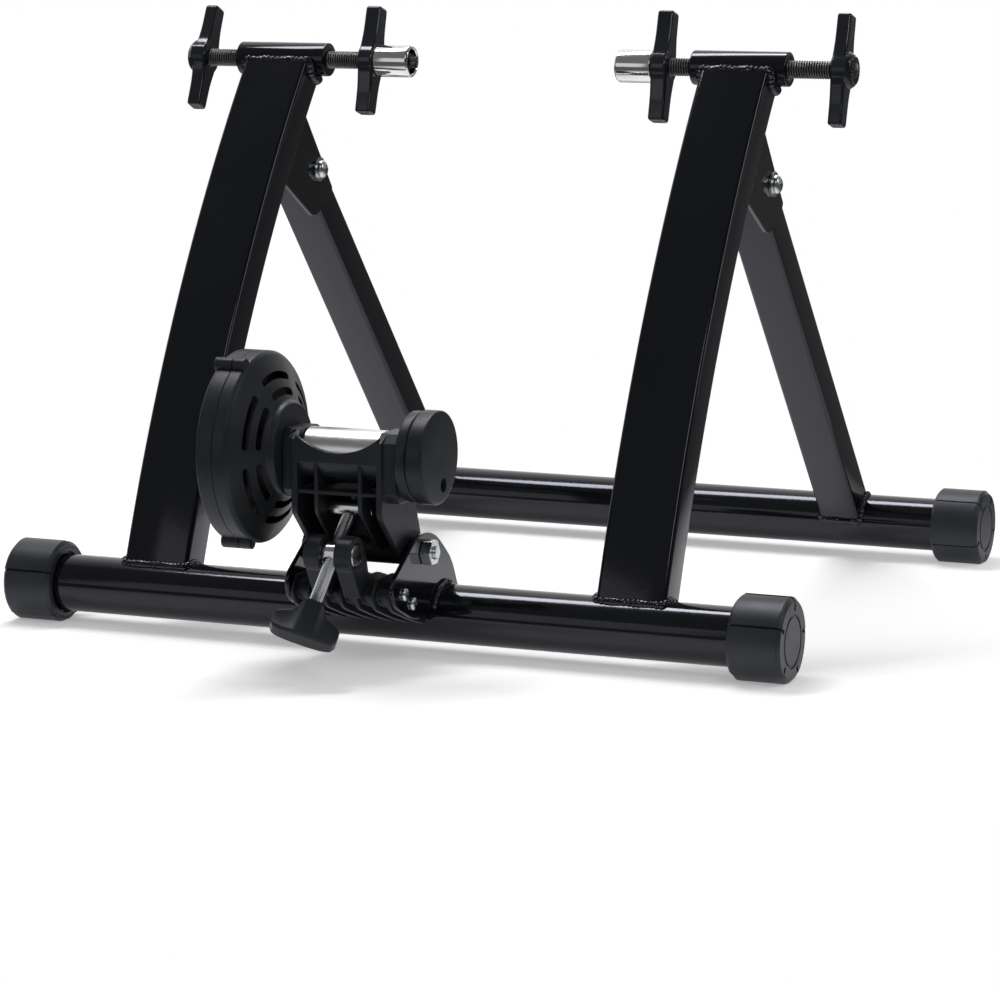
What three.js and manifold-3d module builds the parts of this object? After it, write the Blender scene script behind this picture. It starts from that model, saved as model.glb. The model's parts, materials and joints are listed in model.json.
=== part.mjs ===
// Folding wheel-on turbo trainer: a two-bar steel stand that holds a bicycle by its rear
// axle, with a magnetic resistance unit whose roller is pressed against the tyre.
// Millimetres, +Z up, +X to the right seen from the front, +Y towards the rear bar.
// While it is built, the front bar's axis is at y = 0 and the floor at z = 0; at the end
// the whole trainer is moved so that its footprint is centred on the origin.
import * as THREE from 'three';
import { mergeVertices } from 'three/addons/utils/BufferGeometryUtils.js';
import Module from 'manifold-3d';

const wasm = await Module();
wasm.setup();

// Clearances and shared values
const seatGap = 0.3;
const overrun = 6;
const weldTolerance = 0.0001;
const roundedShare = 0.45;
const fine = 32;
const medium = 20;
const coarse = 12;
// Segments of curves in extruded outlines: rounded corners, plain arcs and longer ones
const cornerSegments = 3;
const ribSegments = 2;
const arcSegments = 4;
const postSegments = 9;
const postCornerSegments = 2;
const panelSegments = 12;
const halfTurn = Math.PI;
const fullTurn = 2 * Math.PI;
const quarterTurn = Math.PI / 2;
const radians = (degrees) => (degrees * halfTurn) / 180;
const clearRadius = (part) => part.diameter / 2 + seatGap;

// Floor bars and levelling feet
const overallWidth = 545;
const wheelbase = 450;
const bar = { diameter: 38, wall: 1.8, height: 26 };
const foot = {
  length: 35,
  socketDepth: 29,
  floorRadius: 26.6,
  padStep: 0.7,
  edge: 1.6,
  collarRadius: 21.5,
  collarDepth: 2.5,
  ringRadius: 17,
  ringWidth: 1.6,
  ringDepth: 0.8,
};
const footPadSteps = [0, 1, 2, 1, 2];

// Axle line and bowed posts
const axleHeight = 368;
const axleSetback = 196;
const postSpacing = 335;
const post = { width: 47, depth: 26, wall: 1.8, corner: 3, bend: 20 };

// Clamp sleeves, screws, knobs and axle cups, measured outwards from the middle plane
const sleeve = { diameter: 23, length: 67, edge: 1 };
const screw = { diameter: 12, spigot: 8, spigotLength: 6, head: 12, headLength: 2.5 };
const cup = { diameter: 22, length: 25.5, bore: 17, boreDepth: 16, edge: 1.2 };
const knob = {
  span: 75,
  blade: 10,
  tip: 12,
  root: 19,
  waist: 13,
  boss: 24,
  bossLength: 14,
  lockThickness: 11.5,
  rounding: 1.2,
  dome: 3,
  socket: 9.5,
};

// How far each side's cup and outer knob stand from the middle, and how the pieces are turned
const clampSettings = {
  left: { cupInner: 71, knobReach: 225.2, knobTilt: 25, lockTilt: 16, frontFootTurn: -5, rearFootTurn: 20 },
  right: {
    cupInner: 80.5,
    knobReach: 231.5,
    knobTilt: 15,
    lockTilt: 15,
    frontFootTurn: -9,
    rearFootTurn: -32,
  },
};

// Fold brackets, legs and their pivots, which lie down the post from the axle and behind its centre line
const foldPivot = { belowAxle: 54.2, behind: 57.3 };
const leg = { width: 30, depth: 26, wall: 1.6, corner: 2.5, beyondPivot: 15 };
const ear = { reach: 60, thickness: 3 };
// Ear corners from the pivot as shares of the ear's reach: the post's end of both edges as a rise along
// the post, and the rear corners as a setback, a rise and a corner radius
const earPostShares = { upper: 0.406, lower: -0.655 };
const earRearShares = [
  [0.492, 0.046, 0.06],
  [0.286, -0.511, 0.14],
];
const foldBolt = { diameter: 8, head: 13, headLength: 5, washer: 17, washerThickness: 1.6, nutLength: 6.5 };

// Resistance unit: places of its axes, forward of and above their carriers
const unitPivot = { forward: 31, rise: 45 };
const lowerBarrelPlace = { forward: 86, rise: 50 };
const upperBarrelPlace = { forward: 28.5, rise: 30 };
const rollerPlace = { forward: 32, rise: 66 };

// Mounting plates, clevis block and pivot hardware
const plate = { gapInside: 34.5, thickness: 3, length: 106, height: 60, front: 81, bottom: 2 };
// Plate corners as shares of its length (from the front) and height (from its bottom)
const plateShares = [
  [0, 0.5, 0.13],
  [0.385, 0.92, 0.13],
  [0.62, 0.9, 0.2],
  [0.89, 0.53, 0.2],
  [0.99, 0.18, 0.05],
  [0.75, 0, 0],
  [0.45, 0, 0],
  [0.3, 0.05, 0],
  [0.04, 0.25, 0.12],
];
const block = { halfWidth: 34.2, length: 68, height: 36, front: 79, bottom: -3, rib: 2.2, ribCount: 7 };
// Block corners as shares of its length and height; the core is the same shape drawn in
const blockShares = [
  [0, 0.7, 0.1],
  [0.1, 0.98, 0.08],
  [0.5, 1, 0.1],
  [0.85, 0.8, 0],
  [1, 0.2, 0],
  [0.8, 0, 0],
  [0.45, 0.2, 0.05],
  [0.08, 0.46, 0.1],
];
const blockCoreShares = [
  [0.08, 0.7, 0.06],
  [0.14, 0.86, 0.05],
  [0.48, 0.88, 0.05],
  [0.88, 0.7, 0],
  [0.95, 0.3, 0],
  [0.8, 0.14, 0],
  [0.48, 0.34, 0.05],
  [0.14, 0.56, 0.05],
];
const arm = { inner: 5, outer: 16, bossRadius: 12, length: 36, height: 30, front: 98, bottom: 22 };
// Arm corners as shares of its length and height
const armShares = [
  [0.02, 0.86, 0],
  [0.45, 0, 0],
  [0.94, 0.1, 0],
  [0.84, 0.4, 0.05],
  [0.7, 0.95, 0],
  [0.33, 0.95, 0],
];
const lowerBarrel = { diameter: 15, bore: 9.6 };
const plateScrew = {
  diameter: 4,
  head: 8,
  headLength: 2.4,
  depth: 12,
  forward: [63, 50.4],
  rise: [23, 15],
};
const pivotBolt = {
  diameter: 8,
  head: 15,
  headLength: 5.5,
  washer: 17,
  washerThickness: 1.6,
  nutLength: 7,
  tail: 2,
};

// Unit bracket
const bracket = { halfWidth: 31, wall: 4, depth: 62, height: 92, front: 51, bottom: -11 };
// Side wall corners as shares of the bracket's depth and height
const wallShares = [
  [0, 0.435, 0.03],
  [0, 0.935, 0],
  [0.13, 1, 0],
  [0.55, 1, 0.06],
  [0.71, 0.79, 0.08],
  [0.89, 0.37, 0.08],
  [1, 0.19, 0.06],
  [1, 0, 0.115],
  [0.645, 0, 0.115],
];
const bearingBlock = { left: 7, right: 9, halfDepth: 17, above: 15, below: 29, chamfer: 6 };
const panel = { thickness: 3.4, bottom: 61, arcBottom: 67.8, arcRadius: 44 };
const shelf = { bottom: 41, thickness: 2.5, front: 49, back: 10 };
const backWall = { top: 54, topForward: 14, bottom: 8, bottomForward: 1, thickness: 3 };
const innerRib = { centre: 15, thickness: 2.8, depth: 46, height: 62, front: 49 };
// Inner rib corners as shares of its depth and height, measured from its front and the pivot
const innerRibShares = [
  [0, 1, 0],
  [0, 0.48, 0.08],
  [0.6, 0.03, 0.08],
  [0.89, 0.06, 0],
  [0.8, 0.86, 0],
  [0.63, 0.79, 0],
  [0.36, 0.76, 0],
  [0.15, 0.85, 0],
];
const pivotTube = { diameter: 18, halfLength: 34.1 };
const upperBarrel = { diameter: 11, bore: 6.6 };
const bearing = { diameter: 22, width: 7 };

// Roller, shaft, flywheel and drag disc, measured along X from the middle plane
const roller = { diameter: 30, wall: 2.5, endDisc: 4, endGap: 0.8 };
const shaft = { diameter: 8, left: 63, right: 58.5, passage: 12 };
const flywheel = {
  diameter: 59,
  start: 51,
  width: 11,
  edge: 1.6,
  holeDiameter: 9,
  holeDepth: 6,
  back: 6,
  drop: 18,
};
const guard = { diameter: 57, hub: 32, start: 43.5, width: 7.1, edge: 1.4 };
const dragDisc = { rimGap: 13, thickness: 3, hub: 22, hubLength: 6, place: 60 };

// Magnet housing: a dished back shell and a coned, slotted cover
const housing = {
  diameter: 122,
  wall: 2.5,
  back: 76.5,
  seam: 65,
  rim: 57.5,
  edge: 2,
  backRing: 88,
  ringHeight: 1,
};
const cover = { bossDiameter: 59, bossStart: 42.5, face: 38.3, bossEdge: 1, bore: 12 };
const vent = { groups: 6, span: 46, phase: 2, width: 4.8, coneShares: [0.524, 0.206] };
const lug = { diameter: 9, beyondRim: 0.5, start: 57, end: 77.5, angles: [117, 250, 3] };
const magnetPlate = {
  rimGap: 9,
  inner: 60,
  thickness: 3,
  start: 72.6,
  magnets: 8,
  magnet: 15,
  magnetLength: 6,
};

// Tension screw and its T knob
const tension = {
  diameter: 8,
  spigot: 6,
  head: 9,
  headLength: 2.5,
  shoulder: 5.6,
  hubBelow: 36,
  insert: 12,
};
const tensionKnob = { span: 50, length: 33, thickness: 14, rounding: 1.6, turn: 25.6 };
// Knob corners as shares of its span (from the middle) and length (from the hub's top)
const tensionKnobShares = [
  [-0.14, 0, 0],
  [0.14, 0, 0],
  [0.18, 0.35, 0.15],
  [0.46, 0.5, 0.16],
  [0.5, 0.8, 0.16],
  [0.38, 0.97, 0.14],
  [-0.38, 0.97, 0.14],
  [-0.5, 0.8, 0.16],
  [-0.46, 0.5, 0.16],
  [-0.18, 0.35, 0.15],
];

// Finishes
const finish = (color, roughness, metalness) =>
  new THREE.MeshStandardMaterial({ color, roughness, metalness });
const glossPaint = () => finish(0x0c0c0f, 0.22, 0.1);
const mouldedPlastic = () => finish(0x26282b, 0.6, 0);
const rubber = () => finish(0x1c1d1f, 0.75, 0);
const chrome = () => finish(0xd9dbde, 0.12, 1);
const zinc = () => finish(0xb9bbb6, 0.35, 1);
const blackSteel = () => finish(0x2b2a28, 0.4, 0.8);
const aluminium = () => finish(0xc3c5c7, 0.4, 1);

// Geometry helpers. Shapes are drawn in the YZ plane and extruded along X.
const yzAlongX = new THREE.Matrix4().makeBasis(
  new THREE.Vector3(0, 1, 0),
  new THREE.Vector3(0, 0, 1),
  new THREE.Vector3(1, 0, 0),
);
const latheAlongX = new THREE.Matrix4().makeBasis(
  new THREE.Vector3(0, 0, 1),
  new THREE.Vector3(1, 0, 0),
  new THREE.Vector3(0, 1, 0),
);

function signedVolume(positions, triangles) {
  const [a, b, c] = [new THREE.Vector3(), new THREE.Vector3(), new THREE.Vector3()];
  let volume = 0;
  for (let i = 0; i < triangles.length; i += 3) {
    a.fromArray(positions, 3 * triangles[i]);
    b.fromArray(positions, 3 * triangles[i + 1]);
    c.fromArray(positions, 3 * triangles[i + 2]);
    volume += a.dot(b.cross(c));
  }
  return volume;
}

function solid(geometry) {
  const bare = geometry.clone();
  bare.deleteAttribute('normal');
  bare.deleteAttribute('uv');
  const merged = mergeVertices(bare, weldTolerance);
  const positions = merged.attributes.position.array;
  const triangles = [];
  for (let i = 0; i < merged.index.count; i += 3) {
    const [a, b, c] = [merged.index.getX(i), merged.index.getX(i + 1), merged.index.getX(i + 2)];
    if (a !== b && b !== c && c !== a) triangles.push(a, b, c);
  }
  if (signedVolume(positions, triangles) < 0) triangles.reverse();
  return new wasm.Manifold(
    new wasm.Mesh({
      numProp: 3,
      vertProperties: new Float32Array(positions),
      triVerts: new Uint32Array(triangles),
    }),
  );
}

function geometryOf(body) {
  const mesh = body.getMesh();
  const geometry = new THREE.BufferGeometry();
  geometry.setAttribute('position', new THREE.BufferAttribute(new Float32Array(mesh.vertProperties), 3));
  geometry.setIndex(new THREE.BufferAttribute(new Uint32Array(mesh.triVerts), 1));
  geometry.computeVertexNormals();
  return geometry;
}

const join = (bodies) => bodies.reduce((sum, next) => sum.add(next));
const cut = (body, tools) => tools.reduce((left, tool) => left.subtract(tool), body);

// An outline through corners [a, b, radius], each rounded where its radius is set
function outline(corners) {
  const shape = new THREE.Shape();
  corners.forEach(([a, b, radius = 0], i) => {
    const corner = new THREE.Vector2(a, b);
    const [beforeA, beforeB] = corners[(i + corners.length - 1) % corners.length];
    const [afterA, afterB] = corners[(i + 1) % corners.length];
    const before = new THREE.Vector2(beforeA, beforeB).sub(corner);
    const after = new THREE.Vector2(afterA, afterB).sub(corner);
    const setback = Math.min(radius, roundedShare * before.length(), roundedShare * after.length());
    const start = before.setLength(setback).add(corner);
    const end = after.setLength(setback).add(corner);
    if (i === 0) shape.moveTo(start.x, start.y);
    else shape.lineTo(start.x, start.y);
    if (setback > 0) shape.quadraticCurveTo(corner.x, corner.y, end.x, end.y);
  });
  shape.closePath();
  return shape;
}

// Shares of a length and a height become corners, from a place at the front and bottom
const spread = (shares, length, height, front, bottom) =>
  shares.map(([u, v, r]) => [u * length - front, v * height + bottom, r * height]);

function rectangle(width, height, corner) {
  return outline([
    [-width / 2, -height / 2, corner],
    [width / 2, -height / 2, corner],
    [width / 2, height / 2, corner],
    [-width / 2, height / 2, corner],
  ]);
}

function chamferedOutline(low, high, bottom, top, chamfer) {
  return outline([
    [low, bottom + chamfer],
    [low, top - chamfer],
    [low + chamfer, top],
    [high - chamfer, top],
    [high, top - chamfer],
    [high, bottom + chamfer],
    [high - chamfer, bottom],
    [low + chamfer, bottom],
  ]);
}

function extruded(shape, start, end, bevel = 0, curveSegments = cornerSegments, bevelSegments = 1) {
  const geometry = new THREE.ExtrudeGeometry(shape, {
    depth: end - start - 2 * bevel,
    bevelEnabled: bevel > 0,
    bevelSize: bevel,
    bevelOffset: -bevel,
    bevelThickness: bevel,
    bevelSegments,
    curveSegments,
  });
  return geometry.translate(0, 0, start + bevel);
}

const prism = (shape, start, end, bevel, curveSegments, bevelSegments) =>
  solid(extruded(shape, start, end, bevel, curveSegments, bevelSegments).applyMatrix4(yzAlongX));

// A body turned about an axis parallel to X, from points [radius, x]
function turned(points, y = 0, z = 0, segments = fine) {
  const profile = points.map(([radius, x]) => new THREE.Vector2(radius, x));
  const geometry = new THREE.LatheGeometry(profile, segments).applyMatrix4(latheAlongX);
  return solid(geometry.translate(0, y, z));
}

const rod = (radius, start, end, y = 0, z = 0, segments = fine) =>
  turned([[0, start], [radius, start], [radius, end], [0, end]], y, z, segments);

const ring = (inner, outer, start, end, y = 0, z = 0, segments = fine) =>
  turned([[inner, start], [outer, start], [outer, end], [inner, end], [inner, start]], y, z, segments);

function edgedRod(radius, start, end, edge, segments = fine) {
  const profile = [
    [0, start],
    [radius - edge, start],
    [radius, start + edge],
    [radius, end - edge],
    [radius - edge, end],
    [0, end],
  ];
  return turned(profile, 0, 0, segments);
}

const hexagon = (acrossFlats, start, end) => rod(acrossFlats / Math.sqrt(3), start, end, 0, 0, 6);

// A body turned about an axis in the YZ plane that runs along (forwardShare, riseShare)
function turnedAlong(points, place, direction, segments = coarse) {
  const profile = points.map(([radius, along]) => new THREE.Vector2(radius, along));
  const geometry = new THREE.LatheGeometry(profile, segments);
  geometry.rotateX(Math.atan2(direction.z, direction.y));
  return solid(geometry.translate(0, place.y, place.z));
}

function piece(name, body, material) {
  const mesh = new THREE.Mesh(geometryOf(body), material);
  mesh.name = name;
  return mesh;
}

function placed(mesh, x, y, z, turnX = 0, turnZ = 0) {
  mesh.position.set(x, y, z);
  mesh.rotation.set(turnX, 0, turnZ);
  return mesh;
}

const sides = [
  { name: 'left', sign: -1, turn: halfTurn, ...clampSettings.left },
  { name: 'right', sign: 1, turn: 0, ...clampSettings.right },
];

// Floor bars: open tubes that end inside the feet
const barRadius = bar.diameter / 2;
const barHalfLength = overallWidth / 2 - foot.length + foot.socketDepth - seatGap;
const floorBar = () => ring(barRadius - bar.wall, barRadius, -barHalfLength, barHalfLength);

// A levelling foot: five stepped pads round the bar's end, one of them flat on the floor.
// Its own X axis points outwards and its origin is on its outer face.
function levellingFoot(turn) {
  const pads = new THREE.Shape();
  const padAngle = fullTurn / footPadSteps.length;
  footPadSteps.forEach((steps, i) => {
    const start = -quarterTurn - padAngle / 2 + turn + i * padAngle;
    pads.absarc(0, 0, foot.floorRadius + steps * foot.padStep, start, start + padAngle, false);
  });
  pads.closePath();
  const largest = foot.floorRadius + Math.max(...footPadSteps) * foot.padStep;
  const innerEnd = -foot.length;
  const envelope = edgedRod(largest, innerEnd, 0, foot.edge);
  const socket = rod(barRadius + seatGap, innerEnd - overrun, innerEnd + foot.socketDepth);
  const collar = rod(foot.collarRadius, innerEnd - overrun, innerEnd + foot.collarDepth);
  const groove = ring(foot.ringRadius - foot.ringWidth, foot.ringRadius, -foot.ringDepth, overrun);
  const belowFloor = prism(
    outline([
      [-largest - overrun, -largest - overrun],
      [largest + overrun, -largest - overrun],
      [largest + overrun, -bar.height],
      [-largest - overrun, -bar.height],
    ]),
    innerEnd - overrun,
    overrun,
  );
  const blank = prism(pads, innerEnd, 0, 0, arcSegments).intersect(envelope);
  return cut(blank, [socket, collar, groove, belowFloor]);
}

// The posts' centre line is an arc from the front bar's axis to the clamp sleeve's axis
const postChord = new THREE.Vector2(axleSetback, axleHeight - bar.height);
const postRadius = postChord.length() / (2 * Math.sin(radians(post.bend) / 2));
const postMiddle = postChord.clone().multiplyScalar(1 / 2).add(new THREE.Vector2(0, bar.height));
const postCentre = new THREE.Vector2(postChord.y, -postChord.x)
  .setLength(postRadius * Math.cos(radians(post.bend) / 2))
  .add(postMiddle);
const postStart = Math.atan2(bar.height - postCentre.y, -postCentre.x);
const postTop = Math.atan2(axleHeight - postCentre.y, axleSetback - postCentre.x);

// The square-cut top end stops just under the sleeve
const seatAngle = postTop + clearRadius(sleeve) / postRadius;

// The band between two arcs, grown by a margin on both faces
function postBand(margin, startAngle = postStart, endAngle = postTop) {
  const shape = new THREE.Shape();
  const [near, far] = [postRadius - post.depth / 2 - margin, postRadius + post.depth / 2 + margin];
  shape.absarc(postCentre.x, postCentre.y, far, startAngle, endAngle, true);
  shape.absarc(postCentre.x, postCentre.y, near, endAngle, startAngle, false);
  shape.closePath();
  return shape;
}

function postTube() {
  const half = post.width / 2;
  const outside = prism(postBand(0), -half, half, post.corner, postSegments, postCornerSegments);
  const inside = prism(postBand(-post.wall), post.wall - half, half - post.wall, 0, postSegments);
  const frontBar = rod(barRadius + seatGap, -post.width, post.width, 0, bar.height);
  const aboveSeat = postBand(overrun, seatAngle, postTop - overrun / postRadius);
  return cut(outside, [inside, frontBar, prism(aboveSeat, -post.width, post.width)]);
}

function clampSleeve() {
  const half = sleeve.length / 2;
  const body = edgedRod(sleeve.diameter / 2, -half, half, sleeve.edge);
  return cut(body, [rod(clearRadius(screw), -half - overrun, half + overrun, 0, 0, medium)]);
}

// The fold pivot's place behind the post, and the post's own directions there
const foldAngle = postTop + foldPivot.belowAxle / postRadius;
const backwards = new THREE.Vector2(-Math.cos(foldAngle), -Math.sin(foldAngle));
const upThePost = new THREE.Vector2(Math.sin(foldAngle), -Math.cos(foldAngle));
const foldPlace = postCentre.clone().addScaledVector(backwards, foldPivot.behind - postRadius);

// Two ears on a web that lies against the back of the post
function foldBracket() {
  const inside = leg.width / 2 + seatGap;
  const outside = inside + ear.thickness;
  const rear = earRearShares.map((shares) => shares.map((share) => share * ear.reach));
  const corners = [
    [-foldPivot.behind, earPostShares.upper * ear.reach, 0],
    ...rear,
    [-foldPivot.behind, earPostShares.lower * ear.reach, 0],
  ];
  const fromPivot = (setback, rise) =>
    foldPlace.clone().addScaledVector(backwards, setback).addScaledVector(upThePost, rise);
  const scaledOutline = (scale) => outline(corners.map(([setback, rise, radius]) =>
    [...fromPivot(scale * setback, scale * rise), radius]));
  const bodyOfPost = (margin) => prism(postBand(margin), -post.width, post.width, 0, postSegments);
  const between = cut(prism(scaledOutline(2), -inside, inside), [bodyOfPost(seatGap + ear.thickness)]);
  const hole = rod(clearRadius(foldBolt), -post.width, post.width, foldPlace.x, foldPlace.y, medium);
  return cut(prism(scaledOutline(1), -outside, outside), [bodyOfPost(seatGap), between, hole]);
}

// A rear leg stands on its own Z axis, from the rear bar's axis past the fold pivot
const legReach = new THREE.Vector2(wheelbase - foldPlace.x, foldPlace.y - bar.height);
function rearLeg() {
  const outside = rectangle(leg.width, leg.depth, leg.corner);
  outside.holes.push(rectangle(leg.width - 2 * leg.wall, leg.depth - 2 * leg.wall, leg.corner - leg.wall));
  const tube = solid(extruded(outside, 0, legReach.length() + leg.beyondPivot));
  const rearBar = rod(barRadius + seatGap, -leg.width, leg.width);
  const hole = rod(clearRadius(foldBolt), -leg.width, leg.width, 0, legReach.length(), medium);
  return cut(tube, [rearBar, hole]);
}

// Fold bolts: head and washer to the right of each bracket, nut to its left
const bracketHalf = leg.width / 2 + seatGap + ear.thickness;
function boltThrough(half, spec, tail) {
  const headStart = half + seatGap + spec.washerThickness;
  const shankEnd = -half - seatGap - spec.nutLength - tail;
  const shank = rod(spec.diameter / 2, shankEnd, headStart + spec.headLength / 2, 0, 0, coarse);
  const washer = rod(spec.washer / 2, half + seatGap, headStart, 0, 0, medium);
  return join([shank, washer, hexagon(spec.head, headStart, headStart + spec.headLength)]);
}

function nutAt(half, spec) {
  const start = -half - seatGap - spec.nutLength;
  return cut(hexagon(spec.head, start, start + spec.nutLength), [
    rod(clearRadius(spec), start - overrun, start + spec.nutLength + overrun, 0, 0, coarse),
  ]);
}

// Clamp parts of one side, in a frame whose X axis points outwards along the axle line
const cupEnd = (side) => side.cupInner + cup.length;
const lockStart = (side) => cupEnd(side) + seatGap;

function axleCup(side) {
  const [inner, outer] = [side.cupInner, cupEnd(side)];
  const floor = inner + cup.boreDepth;
  const boreRadius = cup.bore / 2;
  const passage = screw.spigot / 2 + seatGap;
  const radius = cup.diameter / 2;
  const seat = outer - screw.spigotLength + seatGap;
  return turned([
    [boreRadius, inner],
    [radius - cup.edge, inner],
    [radius, inner + cup.edge],
    [radius, outer],
    [clearRadius(screw), outer],
    [clearRadius(screw), seat],
    [passage, seat],
    [passage, floor],
    [boreRadius, floor],
    [boreRadius, inner],
  ]);
}

function clampScrew(side) {
  const shoulder = cupEnd(side) - screw.spigotLength + 2 * seatGap;
  const headEnd = side.cupInner + cup.boreDepth - seatGap;
  const end = side.knobReach + knob.socket - seatGap;
  return turned([
    [0, headEnd - screw.headLength],
    [screw.head / 2, headEnd - screw.headLength],
    [screw.head / 2, headEnd],
    [screw.spigot / 2, headEnd],
    [screw.spigot / 2, shoulder],
    [screw.diameter / 2, shoulder],
    [screw.diameter / 2, end],
    [0, end],
  ], 0, 0, medium);
}

// The T knob's blades: a waisted outline that widens at the boss, drawn along its own Z
function bladeOutline() {
  const [tip, waist, root, end] = [knob.tip / 2, knob.waist / 2, knob.root / 2, knob.span / 2];
  const corner = 2 * knob.rounding;
  return outline([
    [-tip, -end, corner],
    [tip, -end, corner],
    [waist, -end / 2, end / 4],
    [root, -knob.boss / 4, knob.boss / 4],
    [root, knob.boss / 4, knob.boss / 4],
    [waist, end / 2, end / 4],
    [tip, end, corner],
    [-tip, end, corner],
    [-waist, end / 2, end / 4],
    [-root, knob.boss / 4, knob.boss / 4],
    [-root, -knob.boss / 4, knob.boss / 4],
    [-waist, -end / 2, end / 4],
  ]);
}

const threadRadius = clearRadius(screw);
function lockKnob() {
  const blades = prism(bladeOutline(), 0, knob.lockThickness, knob.rounding);
  const boss = edgedRod(knob.boss / 2, 0, knob.lockThickness, knob.rounding);
  return cut(join([blades, boss]), [rod(threadRadius, -overrun, knob.lockThickness + overrun, 0, 0, medium)]);
}

function clampKnob() {
  const blades = prism(bladeOutline(), 0, knob.blade, knob.rounding);
  const radius = knob.boss / 2;
  const boss = turned([
    [0, 0],
    [radius - knob.rounding, 0],
    [radius, knob.rounding],
    [radius, knob.bossLength - knob.dome],
    [radius - knob.dome / 2, knob.bossLength - knob.dome / 4],
    [radius - knob.dome, knob.bossLength],
    [0, knob.bossLength],
  ]);
  return cut(join([blades, boss]), [rod(threadRadius, -overrun, knob.socket, 0, 0, medium)]);
}

function clampSide(side) {
  const group = new THREE.Group();
  group.position.set(0, axleSetback, axleHeight);
  group.rotation.z = side.turn;
  const tilt = (degrees) => -radians(degrees) * side.sign;
  const lock = piece(`${side.name}_lock_knob`, lockKnob(), mouldedPlastic());
  const outerKnob = piece(`${side.name}_clamp_knob`, clampKnob(), mouldedPlastic());
  group.add(
    placed(piece(`${side.name}_clamp_sleeve`, clampSleeve(), glossPaint()), postSpacing / 2, 0, 0),
    piece(`${side.name}_axle_cup`, axleCup(side), chrome()),
    piece(`${side.name}_clamp_screw`, clampScrew(side), blackSteel()),
    placed(lock, lockStart(side), 0, 0, tilt(side.lockTilt)),
    placed(outerKnob, side.knobReach, 0, 0, tilt(side.knobTilt)),
  );
  return group;
}

// Steel plates on the front bar, in a frame on the bar's axis
const plateOutside = plate.gapInside + plate.thickness;
function unitPlate() {
  const shape = outline(spread(plateShares, plate.length, plate.height, plate.front, plate.bottom));
  const body = prism(shape, plate.gapInside, plateOutside);
  const drill = (radius, forward, rise) =>
    rod(radius, plate.gapInside - overrun, plateOutside + overrun, -forward, rise, coarse);
  const screwHoles = plateScrew.forward.map((forward, i) =>
    drill(clearRadius(plateScrew), forward, plateScrew.rise[i]));
  return cut(body, [
    rod(barRadius + seatGap, 0, plateOutside + overrun),
    drill(clearRadius(pivotBolt), unitPivot.forward, unitPivot.rise),
    ...screwHoles,
  ]);
}

// The ribbed clevis block: end flanges and ribs on a drawn-in core, with two boss arms
function clevisBlock() {
  const section = (shares) => outline(spread(shares, block.length, block.height, block.front, block.bottom));
  const pitch = (2 * block.halfWidth - block.rib) / (block.ribCount - 1);
  const ribs = Array.from({ length: block.ribCount }, (_, i) => {
    const start = i * pitch - block.halfWidth;
    return prism(section(blockShares), start, start + block.rib, 0, ribSegments);
  });
  const coreHalf = block.halfWidth - block.rib / 2;
  const core = prism(section(blockCoreShares), -coreHalf, coreHalf);
  const armShape = outline(spread(armShares, arm.length, arm.height, arm.front, arm.bottom));
  const [bossY, bossZ] = [-lowerBarrelPlace.forward, lowerBarrelPlace.rise];
  const arms = [[-arm.outer, -arm.inner], [arm.inner, arm.outer]].flatMap(([start, end]) => [
    prism(armShape, start, end),
    rod(arm.bossRadius, start, end, bossY, bossZ),
  ]);
  const screwHoles = plateScrew.forward.flatMap((forward, i) => sides.map(({ sign }) => {
    const [mouth, bottom] = [block.halfWidth + overrun, block.halfWidth - plateScrew.depth];
    const [start, end] = sign > 0 ? [bottom, mouth] : [-mouth, -bottom];
    return rod(clearRadius(plateScrew), start, end, -forward, plateScrew.rise[i], coarse);
  }));
  return cut(join([...ribs, core, ...arms]), [
    rod(barRadius + seatGap, -block.halfWidth - overrun, block.halfWidth + overrun),
    rod(clearRadius(lowerBarrel), -arm.outer - overrun, arm.outer + overrun, bossY, bossZ, medium),
    ...screwHoles,
  ]);
}

function plateScrewBody() {
  const start = plateOutside + seatGap;
  return turned([
    [0, block.halfWidth - plateScrew.depth + overrun / 2],
    [plateScrew.diameter / 2, block.halfWidth - plateScrew.depth + overrun / 2],
    [plateScrew.diameter / 2, start],
    [plateScrew.head / 2, start],
    [plateScrew.head / 2, start + plateScrew.headLength / 2],
    [plateScrew.head / 3, start + plateScrew.headLength],
    [0, start + plateScrew.headLength],
  ], 0, 0, coarse);
}

// The bolt's way: from the lower barrel to the upper one, in the YZ plane
const barrelSpan = new THREE.Vector3(
  0,
  lowerBarrelPlace.forward - unitPivot.forward - upperBarrelPlace.forward,
  unitPivot.rise + upperBarrelPlace.rise - lowerBarrelPlace.rise,
);
const boltDirection = barrelSpan.clone().normalize();
const origin = new THREE.Vector3();

function barrel(diameter, bore, half) {
  const body = edgedRod(diameter / 2, -half, half, seatGap * 2, medium);
  const profile = [
    [0, -diameter],
    [bore / 2, -diameter],
    [bore / 2, diameter],
    [0, diameter],
  ];
  const across = turnedAlong(profile, origin, boltDirection);
  return cut(body, [across]);
}

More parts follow.
